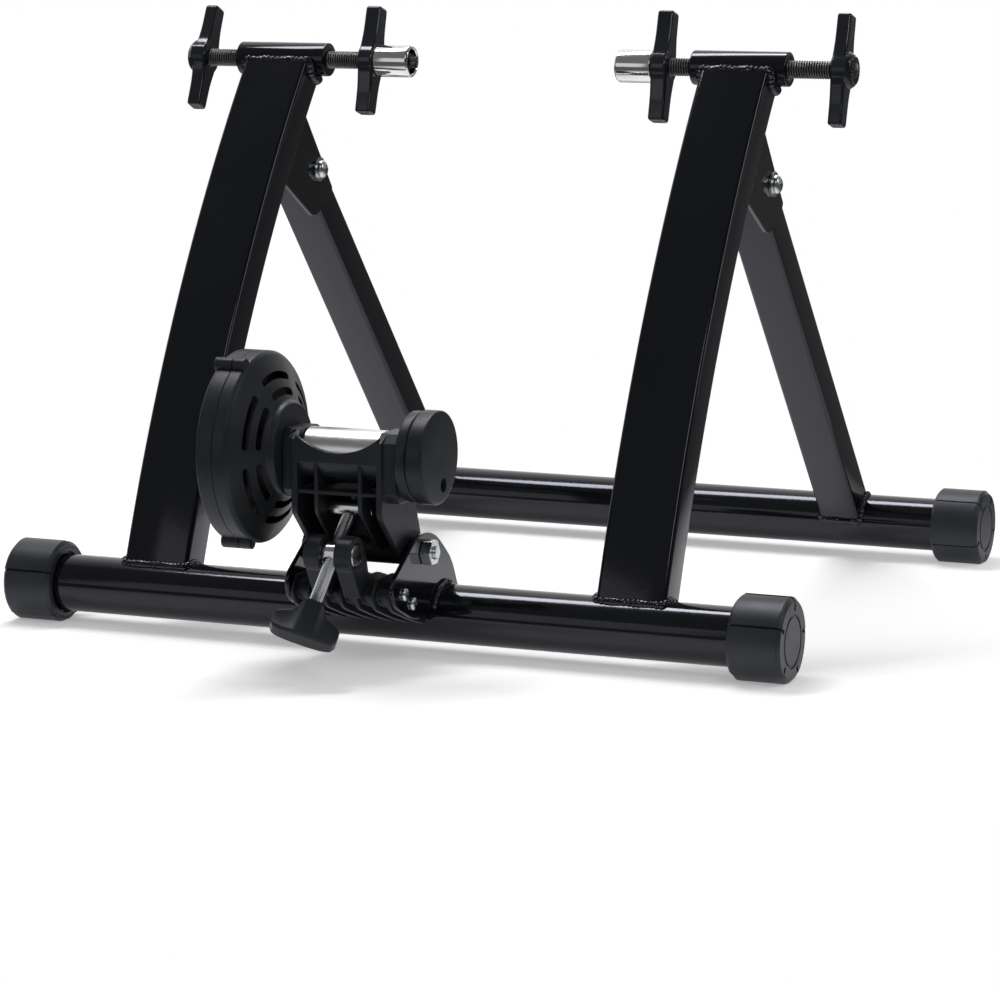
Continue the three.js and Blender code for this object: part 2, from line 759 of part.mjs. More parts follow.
function resistanceMounting() {
  const group = new THREE.Group();
  group.position.set(0, 0, bar.height);
  group.add(piece('clevis_block', clevisBlock(), mouldedPlastic()));
  group.add(placed(
    piece('lower_barrel', barrel(lowerBarrel.diameter, lowerBarrel.bore, arm.outer), zinc()),
    0,
    -lowerBarrelPlace.forward,
    lowerBarrelPlace.rise,
  ));
  sides.forEach(({ name, sign }) => {
    const side = new THREE.Group();
    const body = unitPlate();
    const mesh = piece(`${name}_unit_plate`, body, glossPaint());
    if (sign < 0) mesh.position.x = -plate.gapInside - plateOutside;
    side.add(mesh);
    ['upper', 'lower'].forEach((level, i) => {
      const fastener = piece(`${name}_${level}_plate_screw`, plateScrewBody(), zinc());
      side.add(placed(fastener, 0, -plateScrew.forward[i], plateScrew.rise[i], 0, sign < 0 ? halfTurn : 0));
    });
    group.add(side);
  });
  const [pivotY, pivotZ] = [-unitPivot.forward, unitPivot.rise];
  const bolt = piece('pivot_bolt', boltThrough(plateOutside, pivotBolt, pivotBolt.tail), zinc());
  group.add(
    placed(bolt, 0, pivotY, pivotZ, 0, halfTurn),
    placed(piece('pivot_nut', nutAt(plateOutside, pivotBolt), zinc()), 0, pivotY, pivotZ, 0, halfTurn),
  );
  return group;
}

// The moulded unit bracket, in a frame on the unit's pivot
const rollerY = -rollerPlace.forward;
const rollerZ = rollerPlace.rise;
const wallInside = bracket.halfWidth - bracket.wall;
const leftBlockEnd = -bracket.halfWidth - bearingBlock.left;
const rightBlockEnd = bracket.halfWidth + bearingBlock.right;

function unitBracket() {
  const wallCorners = spread(wallShares, bracket.depth, bracket.height, bracket.front, bracket.bottom);
  const wallShape = outline(wallCorners);
  const blockShape = chamferedOutline(
    rollerY - bearingBlock.halfDepth,
    rollerY + bearingBlock.halfDepth,
    rollerZ - bearingBlock.below,
    rollerZ + bearingBlock.above,
    bearingBlock.chamfer,
  );
  const walls = [
    prism(wallShape, -bracket.halfWidth, -wallInside),
    prism(wallShape, wallInside, bracket.halfWidth),
    prism(blockShape, leftBlockEnd, -wallInside),
    prism(blockShape, wallInside, rightBlockEnd),
  ];
  const ribShape = outline(spread(innerRibShares, innerRib.depth, innerRib.height, innerRib.front, 0));
  const ribs = [-innerRib.centre, innerRib.centre].map((x) =>
    prism(ribShape, x - innerRib.thickness / 2, x + innerRib.thickness / 2));
  const body = join([
    ...walls,
    ...ribs,
    frontPanel(),
    prism(
      outline([
        [-shelf.front, shelf.bottom],
        [-shelf.back, shelf.bottom],
        [-shelf.back, shelf.bottom + shelf.thickness],
        [-shelf.front, shelf.bottom + shelf.thickness],
      ]),
      -wallInside - overrun / 4,
      wallInside + overrun / 4,
    ),
    prism(
      outline([
        [-backWall.topForward, backWall.top],
        [-backWall.bottomForward - backWall.thickness, backWall.bottom],
        [-backWall.bottomForward, backWall.bottom],
        [-backWall.topForward + backWall.thickness, backWall.top],
      ]),
      -wallInside - overrun / 4,
      wallInside + overrun / 4,
    ),
    rod(pivotTube.diameter / 2, -pivotTube.halfLength, pivotTube.halfLength, 0, 0, medium),
  ]);
  const seatRadius = clearRadius(bearing);
  const pastPivotTube = pivotTube.halfLength + overrun;
  return cut(body, [
    rod(shaft.passage / 2, leftBlockEnd - overrun, rightBlockEnd + overrun, rollerY, rollerZ, medium),
    rod(seatRadius, leftBlockEnd - overrun, leftBlockEnd + bearing.width + seatGap, rollerY, rollerZ),
    rod(seatRadius, rightBlockEnd - bearing.width - seatGap, rightBlockEnd + overrun, rollerY, rollerZ),
    rod(
      clearRadius(upperBarrel),
      -innerRib.centre - innerRib.thickness,
      innerRib.centre + innerRib.thickness,
      -upperBarrelPlace.forward,
      upperBarrelPlace.rise,
      medium,
    ),
    rod(clearRadius(pivotBolt), -pastPivotTube, pastPivotTube, 0, 0, medium),
  ]);
}

// The panel in front of the roller, hollowed by an arc that leaves the roller's middle open
function frontPanel() {
  const reach = wallInside + overrun / 4;
  const arcCentre = panel.arcBottom + panel.arcRadius;
  const half = Math.asin(reach / panel.arcRadius);
  const shape = new THREE.Shape();
  shape.moveTo(-reach, panel.bottom);
  shape.lineTo(reach, panel.bottom);
  shape.absarc(0, arcCentre, panel.arcRadius, -quarterTurn + half, -quarterTurn - half, true);
  shape.closePath();
  const geometry = extruded(shape, 0, panel.thickness, 0, panelSegments);
  return solid(geometry.rotateX(quarterTurn).translate(0, panel.thickness - bracket.front, 0));
}

const bearingRing = (start) =>
  ring(clearRadius(shaft), bearing.diameter / 2, start, start + bearing.width, 0, 0, medium);

function rollerTube() {
  const half = wallInside - roller.endGap;
  const [outer, inner, bore] = [roller.diameter / 2, roller.diameter / 2 - roller.wall, clearRadius(shaft)];
  return turned([
    [bore, -half],
    [outer, -half],
    [outer, half],
    [bore, half],
    [bore, half - roller.endDisc],
    [inner, half - roller.endDisc],
    [inner, roller.endDisc - half],
    [bore, roller.endDisc - half],
    [bore, -half],
  ]);
}

function flywheelDrum() {
  const [start, end] = [flywheel.start, flywheel.start + flywheel.width];
  const drum = edgedRod(flywheel.diameter / 2, start, end, flywheel.edge);
  return cut(drum, [
    rod(clearRadius(shaft), start - overrun, shaft.right + seatGap, 0, 0, medium),
    rod(
      flywheel.holeDiameter / 2,
      end - flywheel.holeDepth,
      end + overrun,
      flywheel.back,
      -flywheel.drop,
      coarse,
    ),
  ]);
}

function bearingGuard() {
  const [outer, hub, bore] = [guard.diameter / 2, guard.hub / 2, shaft.passage / 2];
  const end = guard.start + guard.width;
  return turned([
    [bore, rightBlockEnd + seatGap],
    [hub, rightBlockEnd + seatGap],
    [hub, guard.start],
    [outer - guard.edge, guard.start],
    [outer, guard.start + guard.edge],
    [outer, end],
    [bore, end],
    [bore, rightBlockEnd + seatGap],
  ]);
}

function dragDiscBody() {
  const [outer, hub, bore] = [housing.diameter / 2 - dragDisc.rimGap, dragDisc.hub / 2, clearRadius(shaft)];
  const start = -dragDisc.place - dragDisc.thickness / 2;
  return turned([
    [bore, start],
    [outer, start],
    [outer, start + dragDisc.thickness],
    [hub, start + dragDisc.thickness],
    [hub, start + dragDisc.hubLength],
    [bore, start + dragDisc.hubLength],
    [bore, start],
  ]);
}

// Half of each screw lug round the housing's rim
function lugs(start, end) {
  const circle = housing.diameter / 2 + lug.beyondRim;
  return lug.angles.map((degrees) => {
    const angle = radians(degrees);
    return rod(lug.diameter / 2, start, end, circle * Math.cos(angle), circle * Math.sin(angle), coarse);
  });
}

function backShell() {
  const radius = housing.diameter / 2;
  const inner = radius - housing.wall;
  const ringRadius = housing.backRing / 2;
  const [face, seam] = [-housing.back, -housing.seam - seatGap];
  const dish = turned([
    [0, face + housing.ringHeight],
    [ringRadius - housing.wall, face + housing.ringHeight],
    [ringRadius - housing.wall, face],
    [radius - housing.edge, face],
    [radius, face + housing.edge],
    [radius, seam],
    [inner, seam],
    [inner, face + housing.wall],
    [ringRadius, face + housing.wall],
    [ringRadius, face + housing.wall + housing.ringHeight],
    [0, face + housing.wall + housing.ringHeight],
  ]);
  return join([dish, ...lugs(-lug.end, seam)]);
}

// A slot in the shape of an arc with round ends
function ventSlot(radius, middle) {
  const span = radians(vent.span) - vent.width / radius;
  const [start, end] = [middle - span / 2, middle + span / 2];
  const round = vent.width / 2;
  const shape = new THREE.Shape();
  const roundEnd = (angle, from) =>
    shape.absarc(radius * Math.cos(angle), radius * Math.sin(angle), round, from, from + halfTurn, false);
  shape.absarc(0, 0, radius + round, start, end, false);
  roundEnd(end, end);
  shape.absarc(0, 0, radius - round, end, start, true);
  roundEnd(start, start + halfTurn);
  shape.closePath();
  return prism(shape, -housing.seam, -cover.face + overrun, 0, arcSegments);
}

function ventedCover() {
  const radius = housing.diameter / 2;
  const inner = radius - housing.wall;
  const boss = cover.bossDiameter / 2;
  const [seam, rim, face] = [-housing.seam, -housing.rim, -cover.face];
  const shell = turned([
    [radius, seam],
    [radius, rim],
    [radius - housing.edge, rim + housing.edge],
    [boss + cover.bossEdge, -cover.bossStart],
    [boss, face - cover.bossEdge],
    [boss - cover.bossEdge, face],
    [cover.bore / 2, face],
    [cover.bore / 2, face - housing.wall],
    [boss - housing.wall, face - housing.wall],
    [inner - housing.edge, rim - housing.edge / 2],
    [inner, rim - housing.wall],
    [inner, seam],
    [radius, seam],
  ]);
  const firstSlot = radians(vent.phase) + quarterTurn;
  const slots = vent.coneShares.flatMap((share) => Array.from({ length: vent.groups }, (_, i) =>
    ventSlot(boss + share * (radius - boss), firstSlot + (i * fullTurn) / vent.groups)));
  return cut(join([shell, ...lugs(seam, -lug.start)]), slots);
}

function magnetRing() {
  const start = -magnetPlate.start;
  const [outer, inner] = [housing.diameter / 2 - magnetPlate.rimGap, magnetPlate.inner / 2];
  const plateBody = ring(inner, outer, start, start + magnetPlate.thickness);
  const circle = (outer + inner) / 2;
  const magnets = Array.from({ length: magnetPlate.magnets }, (_, i) => {
    const angle = (i * fullTurn) / magnetPlate.magnets;
    const end = start + magnetPlate.thickness + magnetPlate.magnetLength;
    const [y, z] = [circle * Math.cos(angle), circle * Math.sin(angle)];
    return rod(magnetPlate.magnet / 2, start, end, y, z, coarse);
  });
  return join([plateBody, ...magnets]);
}

function resistanceUnit() {
  const group = new THREE.Group();
  group.position.set(0, -unitPivot.forward, bar.height + unitPivot.rise);
  group.add(piece('unit_bracket', unitBracket(), mouldedPlastic()));
  const onAxis = new THREE.Group();
  onAxis.position.set(0, rollerY, rollerZ);
  onAxis.add(
    piece('left_bearing', bearingRing(leftBlockEnd), zinc()),
    piece('right_bearing', bearingRing(rightBlockEnd - bearing.width), zinc()),
    piece('roller', rollerTube(), chrome()),
    piece('roller_shaft', rod(shaft.diameter / 2, -shaft.left, shaft.right, 0, 0, coarse), zinc()),
    piece('flywheel', flywheelDrum(), mouldedPlastic()),
    piece('bearing_guard', bearingGuard(), mouldedPlastic()),
    piece('drag_disc', dragDiscBody(), aluminium()),
    piece('magnet_plate', magnetRing(), zinc()),
    piece('housing_shell', backShell(), mouldedPlastic()),
    piece('housing_cover', ventedCover(), mouldedPlastic()),
  );
  const barrelHalf = innerRib.centre + innerRib.thickness / 2;
  group.add(onAxis, placed(
    piece('upper_barrel', barrel(upperBarrel.diameter, upperBarrel.bore, barrelHalf), zinc()),
    0,
    -upperBarrelPlace.forward,
    upperBarrelPlace.rise,
  ));
  return group;
}

// The tension screw lies on its own Z axis with its origin at the upper barrel's axis
function tensionScrew() {
  const lowEnd = -barrelSpan.length() - tension.hubBelow - tension.insert;
  const headStart = clearRadius(upperBarrel);
  const profile = [
    [0, lowEnd],
    [tension.diameter / 2, lowEnd],
    [tension.diameter / 2, -tension.shoulder - seatGap],
    [tension.spigot / 2, -tension.shoulder - seatGap],
    [tension.spigot / 2, headStart],
    [tension.head / 2, headStart],
    [tension.head / 2, headStart + tension.headLength],
    [0, headStart + tension.headLength],
  ].map(([radius, along]) => new THREE.Vector2(radius, along));
  return solid(new THREE.LatheGeometry(profile, medium).rotateX(quarterTurn));
}

function tensionKnobBody() {
  const corners = tensionKnobShares.map(([u, v, r]) => [
    u * tensionKnob.span,
    -v * tensionKnob.length,
    r * tensionKnob.length,
  ]);
  const half = tensionKnob.thickness / 2;
  const geometry = extruded(outline(corners), -half, half, tensionKnob.rounding);
  const hubTop = -barrelSpan.length() - tension.hubBelow;
  const body = solid(geometry.rotateX(quarterTurn).translate(0, 0, hubTop));
  const bore = [
    [0, -tension.insert - seatGap],
    [clearRadius(tension), -tension.insert - seatGap],
    [clearRadius(tension), overrun],
    [0, overrun],
  ].map(([radius, along]) => new THREE.Vector2(radius, along));
  const socket = new THREE.LatheGeometry(bore, medium).rotateX(quarterTurn).translate(0, 0, hubTop);
  return cut(body, [solid(socket)]);
}

function tensionAssembly() {
  const group = new THREE.Group();
  group.position.set(
    0,
    -unitPivot.forward - upperBarrelPlace.forward,
    bar.height + unitPivot.rise + upperBarrelPlace.rise,
  );
  group.rotation.x = Math.atan2(-boltDirection.y, boltDirection.z);
  const grip = piece('tension_knob', tensionKnobBody(), mouldedPlastic());
  group.add(
    piece('tension_screw', tensionScrew(), zinc()),
    placed(grip, 0, 0, 0, 0, radians(tensionKnob.turn)),
  );
  return group;
}

// The whole trainer
const trainer = new THREE.Group();

const frame = new THREE.Group();
frame.add(placed(piece('front_bar', floorBar(), glossPaint()), 0, 0, bar.height));
sides.forEach(({ name, sign, turn, frontFootTurn }) => {
  const x = (sign * postSpacing) / 2;
  const bolt = piece(`${name}_fold_bolt`, boltThrough(bracketHalf, foldBolt, pivotBolt.tail), zinc());
  const nut = piece(`${name}_fold_nut`, nutAt(bracketHalf, foldBolt), zinc());
  const frontFoot = piece(`front_${name}_foot`, levellingFoot(radians(frontFootTurn) * sign), rubber());
  frame.add(
    placed(piece(`${name}_post`, postTube(), glossPaint()), x, 0, 0),
    placed(piece(`${name}_fold_bracket`, foldBracket(), glossPaint()), x, 0, 0),
    placed(bolt, x, foldPlace.x, foldPlace.y),
    placed(nut, x, foldPlace.x, foldPlace.y),
    placed(frontFoot, (sign * overallWidth) / 2, 0, bar.height, 0, turn),
  );
});

const rearStand = new THREE.Group();
rearStand.add(placed(piece('rear_bar', floorBar(), glossPaint()), 0, wheelbase, bar.height));
sides.forEach(({ name, sign, turn, rearFootTurn }) => {
  const x = (sign * postSpacing) / 2;
  const lean = Math.atan2(legReach.x, legReach.y);
  const rearFoot = piece(`rear_${name}_foot`, levellingFoot(radians(rearFootTurn) * sign), rubber());
  rearStand.add(
    placed(piece(`${name}_rear_leg`, rearLeg(), glossPaint()), x, wheelbase, bar.height, lean),
    placed(rearFoot, (sign * overallWidth) / 2, wheelbase, bar.height, 0, turn),
  );
});

const clamps = sides.map(clampSide);
trainer.add(frame, rearStand, ...clamps, resistanceMounting(), resistanceUnit(), tensionAssembly());

// The footprint's centre becomes the origin
trainer.updateMatrixWorld(true);
const extent = new THREE.Box3().setFromObject(trainer);
trainer.position.set(-(extent.min.x + extent.max.x) / 2, -(extent.min.y + extent.max.y) / 2, -extent.min.z);

export default trainer;
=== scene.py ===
"""Studio scene of a folding wheel-on turbo trainer: its looks, drawn over its solids (metres)."""

import json
import math
from types import SimpleNamespace

import bmesh
import bpy
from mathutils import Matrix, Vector

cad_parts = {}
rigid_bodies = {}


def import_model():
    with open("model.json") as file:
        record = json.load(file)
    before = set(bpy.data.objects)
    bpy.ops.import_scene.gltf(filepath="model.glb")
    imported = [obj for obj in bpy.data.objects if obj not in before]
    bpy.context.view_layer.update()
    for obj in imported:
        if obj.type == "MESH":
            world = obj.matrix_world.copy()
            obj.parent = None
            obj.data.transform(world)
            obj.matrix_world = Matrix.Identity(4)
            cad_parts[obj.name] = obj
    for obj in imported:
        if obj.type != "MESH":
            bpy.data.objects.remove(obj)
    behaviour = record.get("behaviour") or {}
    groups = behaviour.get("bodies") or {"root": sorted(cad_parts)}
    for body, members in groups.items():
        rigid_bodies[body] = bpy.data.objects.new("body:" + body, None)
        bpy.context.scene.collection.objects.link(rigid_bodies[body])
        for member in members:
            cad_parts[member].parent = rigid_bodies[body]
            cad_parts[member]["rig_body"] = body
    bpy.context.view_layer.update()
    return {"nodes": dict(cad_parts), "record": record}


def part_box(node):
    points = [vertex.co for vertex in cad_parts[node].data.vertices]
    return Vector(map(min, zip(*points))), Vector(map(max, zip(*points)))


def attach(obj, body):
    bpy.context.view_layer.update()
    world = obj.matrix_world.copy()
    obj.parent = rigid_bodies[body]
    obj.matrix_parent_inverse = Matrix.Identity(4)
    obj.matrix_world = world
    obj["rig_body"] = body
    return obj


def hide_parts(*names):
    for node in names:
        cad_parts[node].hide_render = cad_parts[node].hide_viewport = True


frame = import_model()

MM = 0.001
FULL_TURN = 2 * math.pi
ACROSS = Vector((1, 0, 0))
SIDES = {"left": -1, "right": 1}


def sizes(**values):
    """Named sizes, written in millimetres and kept in metres."""
    return SimpleNamespace(**{name: value * MM for name, value in values.items()})


# Camera, fitted to the photograph: its lens and sensor, its place from the front bar's middle on the
# floor, and its turn in degrees
CAMERA = SimpleNamespace(lens=133.17, sensor=36, right=0.96787, before_bar=2.13837, height=0.48329,
                         turn=(80.772, -0.112, 22.653), clip=(0.05, 60.0))

# Clearances, the least size of a point, and how near two corners of a solid count as one
FIT = sizes(gap=0.3, touch=0.05, point=0.001, doubled=0.002)

# Floor bars and feet, how many steps each of a foot's pads stands out, and each foot's turn in degrees
BAR = sizes(wall=1.8)
FOOT = sizes(length=35, socket=29, floor_radius=26.6, step=0.7, edge=2.1, groove=1.3, seam=0.6, lip=0.3,
             collar=20.4, collar_depth=2.5, inner_ring=23.2, ring=17, ring_width=1.6, ring_depth=0.8,
             tick_outer=23.6, tick_inner=19.4, tick_depth=1.2)
FOOT_STEPS = (0, 1, 2, 1, 2)
FOOT_TURNS = {"front_left_foot": 5, "front_right_foot": -9, "rear_left_foot": -20, "rear_right_foot": -32}

# The direction down, then degrees from the groove between two pads to the pad's own radius, to where a
# tick's floor ends and to where the tick ends, and the even places between the ticks
DOWN = -90
PAD_FLANK = 1.8
TICK_FLOOR = 3
TICK_END = 3.6
PAD_PLACES = range(8, 63, 6)

# Posts, legs and clamps
POST = sizes(width=47, depth=26, wall=1.8, corner=3)
POST_BEND = math.radians(20)
POST_ROWS = 48
LEG = sizes(width=30, depth=26, wall=1.6, corner=2.5, beyond=15)
LEG_ROWS = 4
SLEEVE = sizes(edge=1)
CUP = sizes(bore=8.5, depth=16, edge=1.2, lip=0.8)
SCREW = sizes(pitch=1.75, thread=1.07, spigot=4, spigot_length=6, head=6, head_length=2.5, chamfer=1)

# Rings of a knob's cap from its rim to its middle, and how many ribs stand on it
CAP_RINGS = [
    sizes(radius=9.4, rise=-0.5, rib=0),
    sizes(radius=9.4, rise=0.1, rib=0),
    sizes(radius=9.1, rise=0.5, rib=0),
    sizes(radius=8.8, rise=0.5, rib=0),
    sizes(radius=8.4, rise=0.1, rib=0.5),
    sizes(radius=5.2, rise=0.1, rib=0.5),
    sizes(radius=4.8, rise=0.8, rib=0),
    sizes(radius=3, rise=1.1, rib=0),
    sizes(radius=0.01, rise=1.2, rib=0),
]
CAP_RIBS = 20

# Weld beads: the ripples' height, then the height and rate of what makes them uneven; and the beads' arcs
# in degrees, under a sleeve and over the front bar
BEAD = sizes(post=2.4, leg=2.2, sleeve=3.1, plate=1.9, pitch=3.1, step=0.4)
RIPPLE_SHARE = 0.2
UNEVEN_SHARES = ((0.12, 0.37), (0.07, 1.7))
SLEEVE_BEAD_SHARE = 0.7
SLEEVE_BEAD_ARC = range(-44, -137, -8)
PLATE_BEAD_ARC = range(18, 163, 6)

# Screws with round heads and cross recesses; a head is straight for a share of its height, then domed
FOLD_BOLT = sizes(shank=4, head=6.3, head_length=5, flange=8.5, flange_length=1.6, recess_depth=2,
                  recess_reach=3.2, recess_half=0.7)
PLATE_SCREW = sizes(shank=2, head=4, head_length=2.4, flange=4, flange_length=0.1, recess_depth=1.3,
                    recess_reach=2.2, recess_half=0.5)
HEAD_STRAIGHT_SHARE = 0.3
HEAD_STEPS = 8

# Roller, the web under it, flywheel and guard
ROLLER = sizes(edge=0.8)
TROUGH = sizes(inner=16.3, outer=17.9, into_wall=1.4)
TROUGH_ARC = range(194, 311, 4)
FLYWHEEL = sizes(edge=1.6, hole=4.5, hole_depth=6, hole_back=6, hole_drop=18, shaft=4.3, shaft_end=58.8)
GUARD = sizes(hub=16, bore=6, hub_end=43.5, edge=1.4)

# Drag disc and its housing; a row of slots lies at a share of the way from the cover's boss to its rim
DISC = sizes(hub=11, thickness=3, edge=0.4)
HOUSING = sizes(wall=2.5, edge=2, back=76.5, seam=65, rim=57.5, ring=44, ring_height=1, rim_gap=13)
COVER = sizes(boss=29.5, boss_start=42.5, boss_edge=1, bore=6)
VENT = sizes(width=4.8)
VENT_ROW_SHARES = (0.524, 0.206)
VENT_GROUPS = 6
VENT_SPAN = math.radians(46)
VENT_START = math.radians(92)
VENT_STEPS = 10
LUG = sizes(radius=4.5, beyond_rim=0.5, start=57, end=77.5, edge=0.6)
LUG_ANGLES = [math.radians(angle) for angle in (117, 250, 3)]

# Tension screw, and sections of its grip from the middle to a wing's tip: how far along the wing, where
# the section starts and ends below the grip's top, and half of how thick it is at both ends
TENSION = sizes(pitch=1.25, thread=0.75, radius=4, spigot=3, head=4.5, head_length=2.5, shoulder=5.9,
                upper=5.8, below=48, chamfer=0.6)
GRIP = sizes(start=38.8, edge=1.3, insert=10.3, rounding=0.5)
GRIP_SECTIONS = [
    sizes(across=0, top=0, bottom=28, above=6.3, below=6.9),
    sizes(across=5.1, top=0, bottom=28, above=6.1, below=6.9),
    sizes(across=6.5, top=1.4, bottom=28, above=5.5, below=6.9),
    sizes(across=8.2, top=6, bottom=28, above=4.8, below=6.7),
    sizes(across=11, top=9.4, bottom=28, above=4.1, below=6.4),
    sizes(across=15.2, top=11.4, bottom=27.8, above=3.8, below=6),
    sizes(across=19.2, top=12.8, bottom=26.8, above=3.6, below=5.6),
    sizes(across=21.2, top=15.4, bottom=24, above=3.2, below=4.7),
]
GRIP_TURN = math.radians(25.6)
GRIP_WAIST_SHARE = 0.5
GRIP_SCOOP_SHARE = 0.12
GRIP_EDGE_ANGLE = math.radians(20)

# Edge roundings of the pieces that keep their solid's form, by their finish, and how edges are told
EDGE = sizes(frame_paint=0.7, moulded_plastic=0.6, foot_rubber=0.6, metal=0.35)
EDGE_SEGMENTS = 2
EDGE_ANGLE = math.radians(40)
FLAT_ANGLE = math.radians(0.6)
SMOOTH_ANGLE = math.radians(32)
FOOT_SMOOTH_ANGLE = math.radians(24)

# How finely round pieces, corners and threads are drawn
ROUND_SIDES = 128
HEAD_SIDES = 64
HOLE_SIDES = 48
LUG_SIDES = 32
CAP_SIDES = 160
BEAD_SIDES = 16
CORNER_STEPS = 4
WIDE_CORNER_STEPS = 6
CORNER_SHARE = 1 / 3
THREAD_SIDES = 40
ROWS_PER_THREAD = 8

# A thread's flanks fall by so many depths over a pitch, its crests are cut flat by a share of the depth,
# and shade is painted into its roots from a share of it. A face that is this square to the axis is an end.
THREAD_SLOPE = 2.6
THREAD_FLAT_SHARE = 0.25
THREAD_SHADE_SHARE = 0.42
FACE_ON = 0.98

# Finishes: how the noise is spread over tones and roughness, how far the grain stands up, and the tint of
# highlights on dark surfaces
NOISE_DETAIL = 4.0
NOISE_ROUGHNESS = 0.55
GRAIN_DETAIL = 3.0
GRAIN_ROUGHNESS = 0.6
TONE_SPAN = (0.3, 0.7)
ROUGHNESS_SPAN = (0.7, 1.3)
BUMP_STRENGTH = 0.6
COOL = (0.84, 0.84, 1.0)

# Light levels of the backdrop, the room before the object and the even light, and where the mirrored
# backdrop fades towards the room and towards the right, along the ray's direction
BACKDROP_LEVEL = 1.0
ROOM_LEVEL = 0.15
EVEN_LEVEL = 0.35
BACKDROP_SPAN = (-0.1, 0.5)
SIDE_SPAN = (0.05, 0.3)
SIDE_LEVEL = 0.3

# Floor, and the distances over which its shadows run out into white
FLOOR_HALF = 15.0
FLOOR_TONES = (0.93, 0.95)
FLOOR_PATCH = 2
FLOOR_ROUGHNESS = 0.9
FLOOR_GLOW = 0.3
FAR_FLOOR_IN_MIRRORS = 0.1
SHADOW_SPAN = (0.32, 0.7)

# Lamps, in metres and watts
SOFT_BOXES = {
    "overhead": {"place": (-0.5, 0.38, 1.9), "aim": (0, 0, 0.15), "size": (1.5, 0.34), "power": 22},
    "side": {"place": (2.4, 0.2, 1.6), "aim": (0, 0, 0.2), "size": (0.5, 1.4), "power": 7},
    "front": {"place": (1.35, -1.8, 1.7), "aim": (0.1, 0, 0.2), "size": (0.4, 1.0), "power": 6},
    "low_front": {"place": (-0.82, -2.0, 0.7), "aim": (0, 0, 0.37), "size": (0.8, 0.9), "power": 1.3},
}


# Shader helpers

def node_tree(name):
    material = bpy.data.materials.new(name)
    material.use_nodes = True
    return material, material.node_tree.nodes, material.node_tree.links


def noise(nodes, links, coordinates, scale, detail=NOISE_DETAIL, roughness=NOISE_ROUGHNESS):
    texture = nodes.new("ShaderNodeTexNoise")
    texture.inputs["Scale"].default_value = scale
    texture.inputs["Detail"].default_value = detail
    texture.inputs["Roughness"].default_value = roughness
    links.new(coordinates, texture.inputs["Vector"])
    return texture.outputs["Fac"]


def ramp(nodes, links, value, tones, warm=0.0):
    """Maps noise to a span between two greys, which may be warm, or cool where warm is negative."""
    node = nodes.new("ShaderNodeValToRGB")
    for element, position, tone in zip(node.color_ramp.elements, TONE_SPAN, tones):
        element.position = position
        element.color = (tone * (1 + warm), tone, tone * (1 - warm), 1)
    links.new(value, node.inputs["Fac"])
    return node.outputs["Color"]


def span(nodes, links, value, source, target):
    """Maps one span of values to another and stops at its ends."""
    node = nodes.new("ShaderNodeMapRange")
    node.inputs["From Min"].default_value, node.inputs["From Max"].default_value = source
    node.inputs["To Min"].default_value, node.inputs["To Max"].default_value = target
    links.new(value, node.inputs["Value"])
    return node.outputs["Result"]


def calculated(nodes, links, operation, first, second):
    """The sum, product or maximum of two values."""
    node = nodes.new("ShaderNodeMath")
    node.operation = operation
    links.new(first, node.inputs[0])
    links.new(second, node.inputs[1])
    return node.outputs["Value"]


def blended(nodes, links, share, first, second):
    node = nodes.new("ShaderNodeMixShader")
    links.new(share, node.inputs["Fac"])
    links.new(first, node.inputs[1])
    links.new(second, node.inputs[2])
    return node.outputs["Shader"]


def glow(nodes, kind, strength):
    node = nodes.new(kind)
    node.inputs["Color"].default_value = (1, 1, 1, 1)
    node.inputs["Strength"].default_value = strength
    return node


def seen_rays(nodes, links):
    """The kinds of rays, and one for those that see the background: camera, glossy and transmission."""
    rays = nodes.new("ShaderNodeLightPath")
    largest = rays.outputs["Is Camera Ray"]
    for kind in ("Is Glossy Ray", "Is Transmission Ray"):
        largest = calculated(nodes, links, "MAXIMUM", largest, rays.outputs[kind])
    return rays, largest


# Finishes

def surface(name, tones, rough, patch, grain, depth, warm=0.0, metallic=0.0, specular=0.5, tint=(1, 1, 1),
            stretch=(1, 1, 1)):
    """A procedural finish: patches of tone and roughness, and a fine grain, its depth in millimetres."""
    material, nodes, links = node_tree(name)
    shader = nodes["Principled BSDF"]
    shader.inputs["Metallic"].default_value = metallic
    shader.inputs["Specular IOR Level"].default_value = specular
    shader.inputs["Specular Tint"].default_value = (*tint, 1)
    place = nodes.new("ShaderNodeTexCoord")
    mapping = nodes.new("ShaderNodeMapping")
    mapping.inputs["Scale"].default_value = stretch
    links.new(place.outputs["Object"], mapping.inputs["Vector"])
    vector = mapping.outputs["Vector"]
    patches = noise(nodes, links, vector, patch)
    grains = noise(nodes, links, vector, grain, GRAIN_DETAIL, GRAIN_ROUGHNESS)
    links.new(ramp(nodes, links, patches, tones, warm), shader.inputs["Base Color"])
    mixed = calculated(nodes, links, "ADD", grains, patches)
    links.new(span(nodes, links, mixed, ROUGHNESS_SPAN, rough), shader.inputs["Roughness"])
    bump = nodes.new("ShaderNodeBump")
    bump.inputs["Strength"].default_value = BUMP_STRENGTH
    bump.inputs["Distance"].default_value = depth * MM
    links.new(grains, bump.inputs["Height"])
    links.new(bump.outputs["Normal"], shader.inputs["Normal"])
    return material


